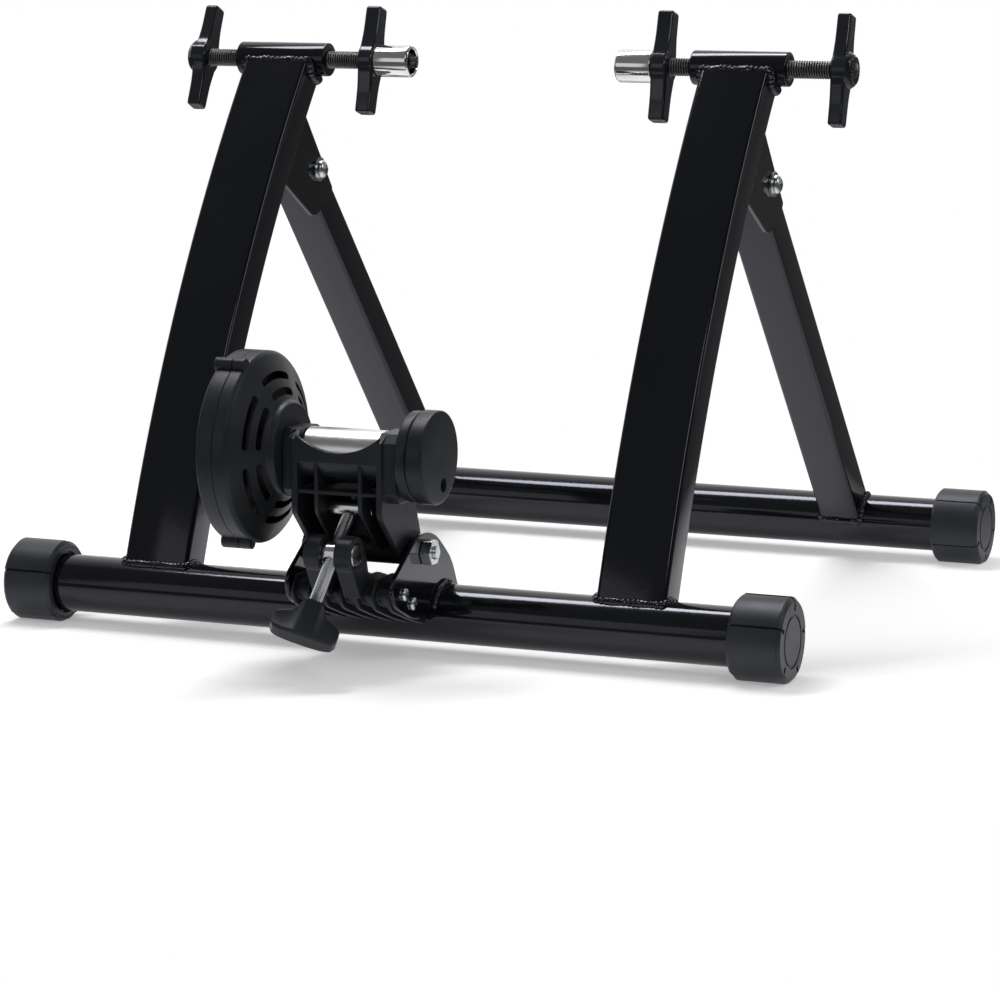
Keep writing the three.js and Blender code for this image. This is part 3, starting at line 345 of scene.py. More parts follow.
FINISHES = {
    "frame_paint": surface("gloss_enamel", tones=(0.0035, 0.0055), rough=(0.07, 0.12), patch=9, grain=240,
                           depth=0.04, warm=-0.15, specular=0.45, tint=COOL),
    "moulded_plastic": surface("grained_plastic", tones=(0.012, 0.018), rough=(0.32, 0.44), patch=30,
                               grain=1400, depth=0.12, warm=-0.12, specular=0.32, tint=COOL),
    "foot_rubber": surface("foot_rubber", tones=(0.015, 0.022), rough=(0.36, 0.48), patch=24, grain=900,
                           depth=0.12, warm=-0.12, specular=0.45, tint=COOL),
    "chrome": surface("polished_chrome", tones=(0.72, 0.8), rough=(0.09, 0.13), patch=30, grain=200,
                      depth=0.001, metallic=1.0),
    "zinc_steel": surface("bright_zinc", tones=(0.58, 0.68), rough=(0.18, 0.26), patch=60, grain=900,
                          depth=0.003, warm=-0.02, metallic=1.0),
    "black_steel": surface("black_oxide", tones=(0.24, 0.34), rough=(0.28, 0.36), patch=120, grain=1500,
                           depth=0.002, warm=0.02, metallic=0.9),
    "disc_aluminium": surface("cast_aluminium", tones=(0.06, 0.1), rough=(0.3, 0.45), patch=40, grain=800,
                              depth=0.03, metallic=1.0),
}

# Finishes of single pieces, and darker finishes that paint shade into the roots between a thread's crests
DRAWN_STEEL = surface("drawn_steel", tones=(0.7, 0.78), rough=(0.24, 0.32), patch=40, grain=900,
                      depth=0.004, metallic=1.0, stretch=(0.03, 1, 1))
GLOSSY_PLASTIC = surface("polished_plastic", tones=(0.009, 0.013), rough=(0.1, 0.18), patch=30, grain=900,
                         depth=0.04, warm=-0.12, specular=0.6, tint=COOL)
WELD_ENAMEL = surface("weld_enamel", tones=(0.0035, 0.0055), rough=(0.03, 0.08), patch=9, grain=240,
                      depth=0.02, warm=-0.15, specular=0.6, tint=COOL)
# Painted shade: the roots between a thread's crests get these darker finishes, where shade falls
ZINC_THREAD_SHADE = surface("zinc_thread_painted_shade", tones=(0.3, 0.42), rough=(0.35, 0.5), patch=120, grain=900,
                    depth=0.01, warm=-0.03, metallic=0.9)
STEEL_THREAD_SHADE = surface("steel_thread_painted_shade", tones=(0.02, 0.04), rough=(0.4, 0.55), patch=120, grain=900,
                     depth=0.01, warm=0.1, metallic=0.6)

# Each solid's finish and body, and the solids that a drawn piece stands for
SLOT_OF = {part["node"]: part["material_slot"] for part in frame["record"]["subparts"]}
BODY_OF = {name: obj["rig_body"] for name, obj in frame["nodes"].items()}
dressed = set()


# Places in the frame

def middle(node):
    low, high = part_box(node)
    return (low + high) / 2


def extent(node):
    low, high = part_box(node)
    return high - low


def reach(node):
    """The node's nearest and farthest distance from the middle plane."""
    low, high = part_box(node)
    return sorted((abs(low.x), abs(high.x)))


def on_middle_plane(node):
    place = middle(node)
    return Vector((0, place.y, place.z))


def inside(point, box):
    """The point, moved into the box where it stands out of it."""
    low, high = box
    return Vector([min(max(value, least), most) for value, least, most in zip(point, low, high)])


# Mesh helpers

def dress(obj, node=None, slot=None, body=None, finish=None):
    """Gives a piece its finish and body, those of the solid that it stands for unless others are named."""
    slot = slot or SLOT_OF[node]
    obj.data.materials.clear()
    obj.data.materials.append(finish or FINISHES[slot])
    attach(obj, body or BODY_OF[node])
    if node:
        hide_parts(node)
        dressed.add(node)
    return obj


def object_from(name, data):
    obj = bpy.data.objects.new(name, data)
    bpy.context.scene.collection.objects.link(obj)
    return obj


def mesh_from(name, vertices, faces):
    data = bpy.data.meshes.new(name)
    data.from_pydata([tuple(vertex) for vertex in vertices], [], faces)
    data.update()
    return object_from(name, data)


def smooth(obj, angle=SMOOTH_ANGLE):
    """Joins doubled points, turns the faces outwards, and shades round stretches smoothly."""
    form = bmesh.new()
    form.from_mesh(obj.data)
    bmesh.ops.remove_doubles(form, verts=form.verts, dist=FIT.point)
    bmesh.ops.recalc_face_normals(form, faces=form.faces)
    form.to_mesh(obj.data)
    form.free()
    for face in obj.data.polygons:
        face.use_smooth = True
    obj.data.set_sharp_from_angle(angle=angle)
    return obj


def edge_rounding(obj, width, angle=EDGE_ANGLE):
    bevel = obj.modifiers.new("edges", "BEVEL")
    bevel.width = width
    bevel.segments = EDGE_SEGMENTS
    bevel.limit_method = "ANGLE"
    bevel.angle_limit = angle
    bevel.use_clamp_overlap = False
    normals = obj.modifiers.new("normals", "WEIGHTED_NORMAL")
    normals.keep_sharp = True


def softened(node, finish=None):
    """The solid's own form with its flat triangles joined, its edges rounded and its curves smooth."""
    data = frame["nodes"][node].data.copy()
    data.name = f"{node}_form"
    form = bmesh.new()
    form.from_mesh(data)
    bmesh.ops.remove_doubles(form, verts=form.verts, dist=FIT.doubled)
    bmesh.ops.dissolve_limit(form, angle_limit=FLAT_ANGLE, verts=form.verts, edges=form.edges)
    form.to_mesh(data)
    form.free()
    obj = smooth(object_from(data.name, data))
    edge_rounding(obj, getattr(EDGE, SLOT_OF[node], EDGE.metal))
    dress(obj, node, finish=finish)


def skinned(name, loops, closed=False):
    """A skin over loops of equal length; a closed one runs on from the last loop to the first."""
    count = len(loops[0])
    vertices = [point for loop in loops for point in loop]
    pairs = list(zip(range(len(loops)), range(1, len(loops))))
    if closed:
        pairs.append((len(loops) - 1, 0))
    faces = []
    for a, b in pairs:
        for i in range(count):
            j = (i + 1) % count
            faces.append((a * count + i, a * count + j, b * count + j, b * count + i))
    if not closed:
        faces.append(tuple(range(count - 1, -1, -1)))
        faces.append(tuple((len(loops) - 1) * count + i for i in range(count)))
    return smooth(mesh_from(name, vertices, faces))


def circle(centre, axis, radius, sides, along=0.0):
    across = Vector((0, 0, 1)) if abs(axis.z) < abs(axis.x) else ACROSS
    across = (across - axis * across.dot(axis)).normalized()
    other = axis.cross(across)
    base = centre + axis * along
    turns = [FULL_TURN * i / sides for i in range(sides)]
    return [base + (across * math.cos(turn) + other * math.sin(turn)) * radius for turn in turns]


def turned(name, profile, centre, axis=ACROSS, sides=ROUND_SIDES):
    """A body of revolution about an axis through centre; a profile point is (radius, along)."""
    closed = profile[0] == profile[-1]
    points = profile[:-1] if closed else profile
    loops = [circle(centre, axis, max(radius, FIT.point), sides, along) for radius, along in points]
    return skinned(name, loops, closed)


def pin_profile(radius, start, end):
    return [(0, start), (radius, start), (radius, end), (0, end)]


def tube_profile(bore, radius, start, end):
    return [(bore, start), (radius, start), (radius, end), (bore, end), (bore, start)]


def rounded(profile, radius, steps=CORNER_STEPS):
    """The profile with each of its inner corners replaced by a short arc."""
    points = [Vector(point) for point in profile]
    made = [points[0]]
    for before, corner, after in zip(points, points[1:], points[2:]):
        nearer = min((before - corner).length, (after - corner).length)
        backed = min(radius, nearer * CORNER_SHARE)
        start = corner + (before - corner).normalized() * backed
        end = corner + (after - corner).normalized() * backed
        for i in range(steps + 1):
            t = i / steps
            made.append(start * (1 - t) ** 2 + corner * 2 * t * (1 - t) + end * t ** 2)
    made.append(points[-1])
    return [tuple(point) for point in made]


def threaded(name, start, end, radius, spec, centre, axis):
    """A rod with a right-hand helical thread whose crests reach the radius."""
    rows = math.ceil((end - start) / spec.pitch * ROWS_PER_THREAD)
    across = circle(centre, axis, 1, THREAD_SIDES)
    loops = []
    for row in range(rows + 1):
        along = start + (end - start) * row / rows
        from_end = min(along - start, end - along)
        limit = radius - max(spec.chamfer - from_end, 0)
        loop = []
        for i, direction in enumerate(across):
            from_crest = abs((along / spec.pitch - i / THREAD_SIDES) % 1 - 1 / 2)
            flank = min(max(from_crest * THREAD_SLOPE - THREAD_FLAT_SHARE, 0), 1)
            reached = min(radius - spec.thread * flank, limit)
            loop.append(centre + axis * along + (direction - centre) * reached)
        loops.append(loop)
    return skinned(name, loops)


def shade_thread_roots(obj, finish, radius, spec, centre, axis):
    """Paints shade into a thread's roots, between its crests, with a darker finish of their own."""
    obj.data.materials.append(finish)
    # Faces nearer the axis than this, other than the ends, take the painted shade
    limit = radius - THREAD_SHADE_SHARE * spec.thread
    for face in obj.data.polygons:
        offset = face.center - centre
        along = offset.dot(axis)
        if (offset - axis * along).length < limit and abs(face.normal.dot(axis)) < FACE_ON:
            face.material_index = 1


def joined(pieces):
    """Several meshes as one piece."""
    form = bmesh.new()
    for obj in pieces:
        form.from_mesh(obj.data)
    kept = pieces[0]
    form.to_mesh(kept.data)
    form.free()
    for obj in pieces[1:]:
        bpy.data.objects.remove(obj)
    return kept


def carved(obj, tools):
    """The piece less its tools."""
    tool = joined(tools)
    cut = obj.modifiers.new("cut", "BOOLEAN")
    cut.operation = "DIFFERENCE"
    cut.solver = "EXACT"
    cut.object = tool
    shaped = bpy.data.meshes.new_from_object(obj.evaluated_get(bpy.context.evaluated_depsgraph_get()))
    obj.modifiers.clear()
    obj.data = shaped
    bpy.data.objects.remove(tool)
    return smooth(obj)


def rounded_rectangle(width, depth, corner):
    """Points round a rectangle with round corners, as (across, through) pairs."""
    points = []
    quarters = [(1, 1), (-1, 1), (-1, -1), (1, -1)]
    for quarter, (u, v) in enumerate(quarters):
        for i in range(WIDE_CORNER_STEPS + 1):
            turn = (quarter + i / WIDE_CORNER_STEPS) * FULL_TURN / 4
            points.append((u * (width / 2 - corner) + corner * math.cos(turn),
                           v * (depth / 2 - corner) + corner * math.sin(turn)))
    return points


def box_tube(name, spec, place, rows):
    """A hollow rectangular tube; place(across, through, share) gives a point from its foot to its top."""
    inner_width, inner_depth = spec.width - 2 * spec.wall, spec.depth - 2 * spec.wall
    outer = rounded_rectangle(spec.width, spec.depth, spec.corner)
    inner = rounded_rectangle(inner_width, inner_depth, spec.corner - spec.wall)
    shares = [row / rows for row in range(rows + 1)]
    skin = [[place(u, v, share) for u, v in outer] for share in shares]
    lining = [[place(u, v, share) for u, v in inner] for share in reversed(shares)]
    return skinned(name, skin + lining, closed=True)


# Weld beads

def even_places(points, total, count):
    """Places along a line of points, the same distance apart, from its start to its end."""
    places = []
    for i in range(count + 1):
        left = total * i / count
        for a, b in zip(points, points[1:]):
            length = (b - a).length
            if left <= length or b is points[-1]:
                places.append(a.lerp(b, min(left / length, 1)))
                break
            left -= length
    return places


def bead(name, points, radius, body, closed=True):
    """A weld bead: a tube along the points with the ripples that a torch leaves."""
    if closed:
        points = points + points[:1]
    total = sum((b - a).length for a, b in zip(points, points[1:]))
    count = int(total / BEAD.step)
    route = even_places(points, total, count)
    if closed:
        route.pop()
    loops = []
    for i, point in enumerate(route):
        before, after = route[i - 1], route[(i + 1) % len(route)]
        if not closed:
            before, after = route[max(i - 1, 0)], route[min(i + 1, len(route) - 1)]
        phase = math.pi * (total * i / count) / BEAD.pitch
        ripple = 1 + RIPPLE_SHARE * abs(math.sin(phase))
        ripple += sum(height * math.sin(phase * rate) for height, rate in UNEVEN_SHARES)
        loops.append(circle(point, (after - before).normalized(), radius * ripple, BEAD_SIDES))
    dress(skinned(name, loops, closed), slot="frame_paint", body=body, finish=WELD_ENAMEL)


def tube_foot(spec, place):
    """Points round a box tube's foot, with more of them where two are far apart."""
    outline = [Vector(point) for point in rounded_rectangle(spec.width, spec.depth, spec.corner)]
    made = []
    for start, end in zip(outline, outline[1:] + outline[:1]):
        count = math.ceil((end - start).length / BEAD.pitch)
        made += [place(*start.lerp(end, i / count), 0) for i in range(count)]
    return made


# Floor bars and their stepped feet

def floor_bar(node):
    half, radius = extent(node).x / 2, extent(node).z / 2
    dress(turned(f"{node}_tube", tube_profile(radius - BAR.wall, radius, -half, half), middle(node)), node)


def foot_profile(radius, ticked, bore):
    """Half of a foot's section, from its socket's floor round its rim to its outer face's middle."""
    inner, lip = -FOOT.length, FOOT.lip
    edge, seam = FOOT.edge, FOOT.seam
    ring, ring_inside = FOOT.ring, FOOT.ring - FOOT.ring_width
    tick = -FOOT.tick_depth if ticked else 0
    return [
        (0, inner + FOOT.socket),
        (bore, inner + FOOT.socket),
        (bore, inner + FOOT.collar_depth),
        (FOOT.collar, inner + FOOT.collar_depth),
        (FOOT.collar, inner + lip),
        (FOOT.collar + lip, inner),
        (FOOT.inner_ring, inner),
        (FOOT.inner_ring + lip, inner + lip),
        (FOOT.inner_ring + 2 * lip, inner),
        (radius - edge, inner),
        (radius, inner + edge),
        (radius, -edge - seam),
        (radius - seam, -edge - seam / 2),
        (radius - seam, -edge),
        (radius - edge, -seam),
        (radius - edge - seam, 0),
        (FOOT.tick_outer + lip, 0),
        (FOOT.tick_outer, tick),
        (FOOT.tick_inner, tick),
        (FOOT.tick_inner - lip, 0),
        (ring + lip, 0),
        (ring, -lip),
        (ring, -FOOT.ring_depth),
        (ring_inside, -FOOT.ring_depth),
        (ring_inside, -lip),
        (ring_inside - lip, 0),
        (0, 0),
    ]


def levelling_foot(node, bar_node):
    """Five pads of stepped radius round the bar's end, with a groove between them and flat on the floor."""
    bore = extent(bar_node).z / 2 + FIT.touch
    sign = math.copysign(1, middle(node).x)
    end = on_middle_plane(bar_node) + ACROSS * (sign * reach(node)[1])
    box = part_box(node)
    pad = math.degrees(FULL_TURN) / len(FOOT_STEPS)
    near = (PAD_FLANK, TICK_FLOOR, TICK_END)
    offsets = [*near, *PAD_PLACES, *(pad - offset for offset in reversed(near))]
    loops = []
    for i, steps in enumerate(FOOT_STEPS):
        start = DOWN - pad / 2 + FOOT_TURNS[node] + i * pad
        radius = FOOT.floor_radius + steps * FOOT.step
        before = FOOT.floor_radius + FOOT_STEPS[i - 1] * FOOT.step
        stops = [(0, min(radius, before) - FOOT.groove)] + [(offset, radius) for offset in offsets]
        for offset, reached in stops:
            turn = math.radians(start + offset)
            ticked = not TICK_FLOOR < offset < pad - TICK_FLOOR
            across = Vector((0, sign * math.cos(turn), math.sin(turn)))
            loops.append([inside(end + ACROSS * (sign * along) + across * r, box)
                          for r, along in foot_profile(reached, ticked, bore)])
    count = len(loops[0])
    vertices = [point for loop in loops for point in loop]
    faces = []
    for a in range(len(loops)):
        b = (a + 1) % len(loops)
        faces += [(a * count + j, a * count + j + 1, b * count + j + 1, b * count + j)
                  for j in range(count - 1)]
    dress(smooth(mesh_from(f"{node}_moulding", vertices, faces), FOOT_SMOOTH_ANGLE), node)


for bar_node in ("front_bar", "rear_bar"):
    floor_bar(bar_node)
    for side in SIDES:
        levelling_foot(f"{bar_node.split('_')[0]}_{side}_foot", bar_node)


# Bowed posts: arcs from the front bar to the axle line, fitted over the bar, cut square under the sleeves
bar_place = on_middle_plane("front_bar")
bar_radius = extent("front_bar").z / 2
axle_place = on_middle_plane("left_clamp_sleeve")
sleeve_radius = extent("left_clamp_sleeve").z / 2
chord = axle_place - bar_place
post_radius = chord.length / (2 * math.sin(POST_BEND / 2))
towards_centre = Vector((0, chord.z, -chord.y)).normalized()
post_centre = bar_place + chord / 2 + towards_centre * post_radius * math.cos(POST_BEND / 2)


def post_point(x, through, angle):
    reached = post_radius + through
    return Vector((x, post_centre.y + reached * math.cos(angle), post_centre.z + reached * math.sin(angle)))


def angle_of(place):
    return math.atan2(place.z - post_centre.z, place.y - post_centre.y)


foot_angle, top_angle = angle_of(bar_place), angle_of(axle_place)
seat_angle = top_angle + (sleeve_radius + FIT.gap) / post_radius


def post_foot_angle(through):
    """Where the tube's side meets the bar."""
    reached = post_radius + through
    touching = bar_radius + FIT.touch
    cosine = (reached ** 2 + post_radius ** 2 - touching ** 2) / (2 * reached * post_radius)
    return foot_angle - math.acos(cosine)


def post(side):
    node = f"{side}_post"
    centre = middle(node).x

    def place(across, through, share):
        start = post_foot_angle(through)
        return post_point(centre + across, through, start + (seat_angle - start) * share)

    dress(box_tube(f"{side}_post_tube", POST, place, POST_ROWS), node)
    bead(f"{side}_post_weld", tube_foot(POST, place), BEAD.post, "frame")


def sleeve_weld(side):
    """The bead round a post's top, where it carries the sleeve."""
    along = Vector((0, math.sin(top_angle), -math.cos(top_angle)))
    forwards = Vector((0, math.cos(top_angle), math.sin(top_angle)))
    outwards = ACROSS * (POST.width / 2 + FIT.gap)
    round_sleeve = sleeve_radius + BEAD.sleeve * SLEEVE_BEAD_SHARE
    arc = [math.radians(angle) for angle in SLEEVE_BEAD_ARC]
    rim = [forwards * math.cos(turn) * round_sleeve + along * math.sin(turn) * round_sleeve for turn in arc]
    seat = axle_place + ACROSS * middle(f"{side}_post").x
    points = [seat + outwards + step for step in rim] + [seat - outwards + step for step in reversed(rim)]
    bead(f"{side}_sleeve_weld", points, BEAD.sleeve, "frame")


# Straight rear legs from the rear bar past the fold bolts, drilled for the bolts
rear_place = on_middle_plane("rear_bar")


def rear_leg(side):
    node = f"{side}_rear_leg"
    centre = middle(node).x
    foot = Vector((centre, rear_place.y, rear_place.z))
    pivot = middle(f"{side}_fold_nut")
    pivot.x = centre
    direction = (pivot - foot).normalized()
    through_axis = ACROSS.cross(direction)
    top = (pivot - foot).length + LEG.beyond

    def place(across, through, share):
        start = math.sqrt((bar_radius + FIT.touch) ** 2 - through ** 2)
        return foot + ACROSS * across + through_axis * through + direction * (start + (top - start) * share)

    tube = box_tube(f"{side}_leg_tube", LEG, place, LEG_ROWS)
    hole = pin_profile(FOLD_BOLT.shank + FIT.gap, -LEG.width, LEG.width)
    dress(carved(tube, [turned("drill", hole, pivot, sides=HOLE_SIDES)]), node)
    bead(f"{side}_leg_weld", tube_foot(LEG, place), BEAD.leg, "rear_stand")


# Axle clamps: sleeve, open cup, threaded screw, and the ribbed caps of the outer knobs

def clamp_bore(side):
    return extent(f"{side}_clamp_screw").z / 2 + FIT.gap


def cup_seat(side):
    """Where the cup's bore for the screw ends and its passage for the spigot starts."""
    return reach(f"{side}_axle_cup")[1] - SCREW.spigot_length + FIT.gap


def clamp_sleeve(side):
    node = f"{side}_clamp_sleeve"
    profile = tube_profile(clamp_bore(side), sleeve_radius, *reach(node))
    tube = turned(f"{side}_sleeve_tube", rounded(profile, SLEEVE.edge), axle_place, ACROSS * SIDES[side])
    dress(tube, node)


def axle_cup(side):
    node = f"{side}_axle_cup"
    radius = extent(node).z / 2
    inner, outer = reach(node)
    bore, seat, passage = clamp_bore(side), cup_seat(side), SCREW.spigot + FIT.gap
    profile = [
        (CUP.bore, inner + CUP.lip),
        (CUP.bore + CUP.lip, inner),
        (radius - CUP.edge, inner),
        (radius, inner + CUP.edge),
        (radius, outer),
        (bore, outer),
        (bore, seat),
        (passage, seat),
        (passage, inner + CUP.depth),
        (CUP.bore, inner + CUP.depth),
        (CUP.bore, inner + CUP.lip),
    ]
    dress(turned(f"{node}_turning", rounded(profile, CUP.lip), axle_place, ACROSS * SIDES[side]), node)


def clamp_screw(side):
    node = f"{side}_clamp_screw"
    axis = ACROSS * SIDES[side]
    radius = extent(node).z / 2
    head_start, end = reach(node)
    head_end = head_start + SCREW.head_length
    shoulder = cup_seat(side) + FIT.gap
    profile = [(0, head_start), (SCREW.head, head_start), (SCREW.head, head_end), (SCREW.spigot, head_end),
               (SCREW.spigot, shoulder), (0, shoulder)]
    shank = turned(f"{node}_shank", profile, axle_place, axis)
    thread = threaded(f"{node}_thread", shoulder, end, radius, SCREW, axle_place, axis)
    screw = dress(smooth(joined([thread, shank])), node)
    # The thread's roots get a darker finish: painted shade
    shade_thread_roots(screw, STEEL_THREAD_SHADE, radius, SCREW, axle_place, axis)


def knob_cap(side):
    axis = ACROSS * SIDES[side]
    knob_end = reach(f"{side}_clamp_knob")[1]
    loops = []
    for row in CAP_RINGS:
        ring = circle(axle_place, axis, row.radius, CAP_SIDES, knob_end + row.rise)
        waves = [(1 + math.cos(FULL_TURN * CAP_RIBS * i / CAP_SIDES)) / 2 for i in range(CAP_SIDES)]
        loops.append([point + axis * (row.rib * wave) for point, wave in zip(ring, waves)])
    cap = skinned(f"{side}_knob_cap", loops)
    dress(cap, slot="moulded_plastic", body=f"{side}_screw", finish=GLOSSY_PLASTIC)


for side in SIDES:
    post(side)
    sleeve_weld(side)
    rear_leg(side)
    clamp_sleeve(side)
    axle_cup(side)
    clamp_screw(side)
    knob_cap(side)


# Round heads with cross recesses on the fold bolts and the plates' screws

def slab(name, centre, half):
    """A cutter's plain block."""
    loops = [[centre + Vector((x, y * half.y, z * half.z)) for y, z in ((-1, -1), (1, -1), (1, 1), (-1, 1))]
             for x in (-half.x, half.x)]
    return skinned(name, loops)


def round_head(node, spec, towards):
    """A bolt along X with a shank, a washer or collar, and a domed head with a cross recess."""
    low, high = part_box(node)
    place = on_middle_plane(node)
    axis = ACROSS * towards
    start, end = sorted((low.x * towards, high.x * towards))
    seat = end - spec.head_length
    flange = seat - spec.flange_length
    profile = [
        (0, start),
        (spec.shank, start),
        (spec.shank, flange),
        (spec.flange, flange),
        (spec.flange, seat),
        (spec.head, seat),
    ]
    straight = spec.head_length * HEAD_STRAIGHT_SHARE
    dome = spec.head_length - straight
    for i in range(HEAD_STEPS):
        turn = FULL_TURN / 4 * i / HEAD_STEPS
        profile.append((spec.head * math.cos(turn), seat + straight + dome * math.sin(turn)))
    profile.append((0, end))
    body = turned(f"{node}_turning", profile, place, axis, HEAD_SIDES)
    for half in ((spec.recess_half, spec.recess_reach), (spec.recess_reach, spec.recess_half)):
        body = carved(body, [slab("recess", place + axis * end, Vector((spec.recess_depth, *half)))])
    dress(body, node)


for side in SIDES:
    bolt = f"{side}_fold_bolt"
    round_head(bolt, FOLD_BOLT, math.copysign(1, middle(bolt).x - middle(f"{side}_fold_nut").x))
    for level in ("lower", "upper"):
        round_head(f"{side}_{level}_plate_screw", PLATE_SCREW, SIDES[side])

# Weld beads between the unit's plates and the front bar
for side, sign in SIDES.items():
    corner = bar_place + ACROSS * (sign * (reach(f"{side}_unit_plate")[1] + BEAD.plate / 2))
    arc = [corner + Vector((0, math.cos(turn), math.sin(turn))) * (bar_radius + BEAD.plate / 2)
           for turn in (math.radians(angle) for angle in PLATE_BEAD_ARC)]
    bead(f"{side}_plate_weld", arc, BEAD.plate, "frame", closed=False)


# Roller, flywheel, guard and drag disc, turned about the roller's axis
roller_place = on_middle_plane("roller")
shaft_bore = extent("roller_shaft").z / 2 + FIT.gap


def roller_body():
    radius, half = extent("roller").z / 2, extent("roller").x / 2
    profile = rounded(tube_profile(shaft_bore, radius, -half, half), ROLLER.edge)
    dress(turned("roller_tube", profile, roller_place), "roller", finish=DRAWN_STEEL)


def trough():
    """The web that curves under the roller from the panel before it."""
    half = extent("roller").x / 2 + TROUGH.into_wall
    turns = [math.radians(angle) for angle in TROUGH_ARC]
    inner, outer = [[(radius * math.cos(turn), radius * math.sin(turn)) for turn in turns]
                    for radius in (TROUGH.inner, TROUGH.outer)]
    loops = [[roller_place + Vector((x, y, z)) for y, z in inner + outer[::-1]] for x in (-half, half)]
    dress(skinned("roller_trough", loops), slot="moulded_plastic", body="unit")


def flywheel_body():
    radius = extent("flywheel").z / 2
    start, end = reach("flywheel")
    profile = [(FLYWHEEL.shaft, start), (radius, start), (radius, end), (0, end), (0, FLYWHEEL.shaft_end),
               (FLYWHEEL.shaft, FLYWHEEL.shaft_end), (FLYWHEEL.shaft, start)]
    drum = turned("flywheel_drum", rounded(profile, FLYWHEEL.edge, WIDE_CORNER_STEPS), roller_place)
    hole_place = roller_place + Vector((0, FLYWHEEL.hole_back, -FLYWHEEL.hole_drop))
    hole = pin_profile(FLYWHEEL.hole, end - FLYWHEEL.hole_depth, end + FLYWHEEL.hole_depth)
    dress(carved(drum, [turned("hole", hole, hole_place, sides=HOLE_SIDES)]), "flywheel")


def guard_body():
    radius = extent("bearing_guard").z / 2
    start, end = reach("bearing_guard")
    profile = [(GUARD.bore, start), (GUARD.hub, start), (GUARD.hub, GUARD.hub_end), (radius, GUARD.hub_end),
               (radius, end), (GUARD.bore, end), (GUARD.bore, start)]
    dress(turned("guard_moulding", rounded(profile, GUARD.edge), roller_place), "bearing_guard")


def disc_body():
    radius = extent("drag_disc").z / 2
    low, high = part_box("drag_disc")
    face = low.x + DISC.thickness
    profile = [(shaft_bore, low.x), (radius, low.x), (radius, face), (DISC.hub, face), (DISC.hub, high.x),
               (shaft_bore, high.x), (shaft_bore, low.x)]
    dress(turned("drag_disc_plate", rounded(profile, DISC.edge), roller_place), "drag_disc")


# Magnet housing: dished back shell and coned cover with two rows of slots, closed by three lugs
housing_radius = extent("drag_disc").z / 2 + HOUSING.rim_gap


def lugs(name, start, end):
    profile = rounded(pin_profile(LUG.radius, start, end), LUG.edge)
    made = []
    for i, angle in enumerate(LUG_ANGLES):
        outwards = Vector((0, math.cos(angle), math.sin(angle)))
        place = roller_place + outwards * (housing_radius + LUG.beyond_rim)
        made.append(turned(f"{name}_{i}", profile, place, sides=LUG_SIDES))
    return made


def back_shell():
    face, seam = -HOUSING.back, -HOUSING.seam - FIT.gap
    radius, wall, height = housing_radius, HOUSING.wall, HOUSING.ring_height
    profile = [
        (0, face + height),
        (HOUSING.ring - wall, face + height),
        (HOUSING.ring - wall, face),
        (radius, face),
        (radius, seam),
        (radius - wall, seam),
        (radius - wall, face + wall),
        (HOUSING.ring, face + wall),
        (HOUSING.ring, face + wall + height),
        (0, face + wall + height),
    ]
    shell = turned("housing_dish", rounded(profile, HOUSING.edge, WIDE_CORNER_STEPS), roller_place)
    dress(smooth(joined([shell] + lugs("shell_lug", -LUG.end, seam))), "housing_shell")


def slot_tool(radius, centre_angle, start, end):
    """A slot's cutter: an arc with round ends, drawn through the cover."""
    half = VENT.width / 2
    turn = VENT_SPAN / 2 - half / radius
    outline = []
    for sign in (1, -1):
        sweep = [centre_angle - sign * turn * (1 - 2 * i / VENT_STEPS) for i in range(VENT_STEPS + 1)]
        outline += [((radius + sign * half) * math.cos(angle), (radius + sign * half) * math.sin(angle))
                    for angle in sweep]
        end_angle = sweep[-1]
        for i in range(1, VENT_STEPS):
            swing = end_angle + math.pi * i / VENT_STEPS + (0 if sign > 0 else math.pi)
            outline.append((radius * math.cos(end_angle) + half * math.cos(swing),
                            radius * math.sin(end_angle) + half * math.sin(swing)))
    loops = [[roller_place + Vector((along, y, z)) for y, z in outline] for along in (start, end)]
    return skinned("slot", loops)


def vented_cover():
    seam, rim, radius = -HOUSING.seam, -HOUSING.rim, housing_radius
    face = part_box("housing_cover")[1].x
    wall, boss = HOUSING.wall, COVER.boss
    profile = [
        (radius, seam),
        (radius, rim),
        (radius - HOUSING.edge, rim + HOUSING.edge),
        (boss + COVER.boss_edge, -COVER.boss_start),
        (boss, face - COVER.boss_edge),
        (boss - COVER.boss_edge, face),
        (COVER.bore, face),
        (COVER.bore, face - wall),
        (boss - wall, face - wall),
        (radius - wall - HOUSING.edge, rim - HOUSING.edge / 2),
        (radius - wall, rim - wall),
        (radius - wall, seam),
        (radius, seam),
    ]
    shell = turned("housing_cone", rounded(profile, COVER.boss_edge), roller_place)
    rows = [boss + share * (radius - boss) for share in VENT_ROW_SHARES]
    turns = [VENT_START + FULL_TURN * i / VENT_GROUPS for i in range(VENT_GROUPS)]
    shell = carved(shell, [slot_tool(row, turn, seam, face + wall) for row in rows for turn in turns])
    dress(smooth(joined([shell] + lugs("cover_lug", seam, -LUG.start))), "housing_cover")


roller_body()
trough()
flywheel_body()
guard_body()
disc_body()
back_shell()
vented_cover()


# Tension screw, on the line from the lower barrel to the upper one, and its grip
upper_place, lower_place = middle("upper_barrel"), middle("lower_barrel")
screw_axis = (upper_place - lower_place).normalized()


def tension_screw():
    start, shoulder = -(upper_place - lower_place).length - TENSION.below, -TENSION.shoulder
    head_start, head_end = TENSION.upper, TENSION.upper + TENSION.head_length
    profile = [(0, shoulder), (TENSION.spigot, shoulder), (TENSION.spigot, head_start),
               (TENSION.head, head_start), (TENSION.head, head_end), (0, head_end)]
    shank = turned("tension_shank", profile, upper_place, screw_axis, HEAD_SIDES)
    thread = threaded("tension_thread", start, shoulder, TENSION.radius, TENSION, upper_place, screw_axis)
    screw = dress(smooth(joined([thread, shank])), "tension_screw")
    # The thread's roots get a darker finish: painted shade
    shade_thread_roots(screw, ZINC_THREAD_SHADE, TENSION.radius, TENSION, upper_place, screw_axis)


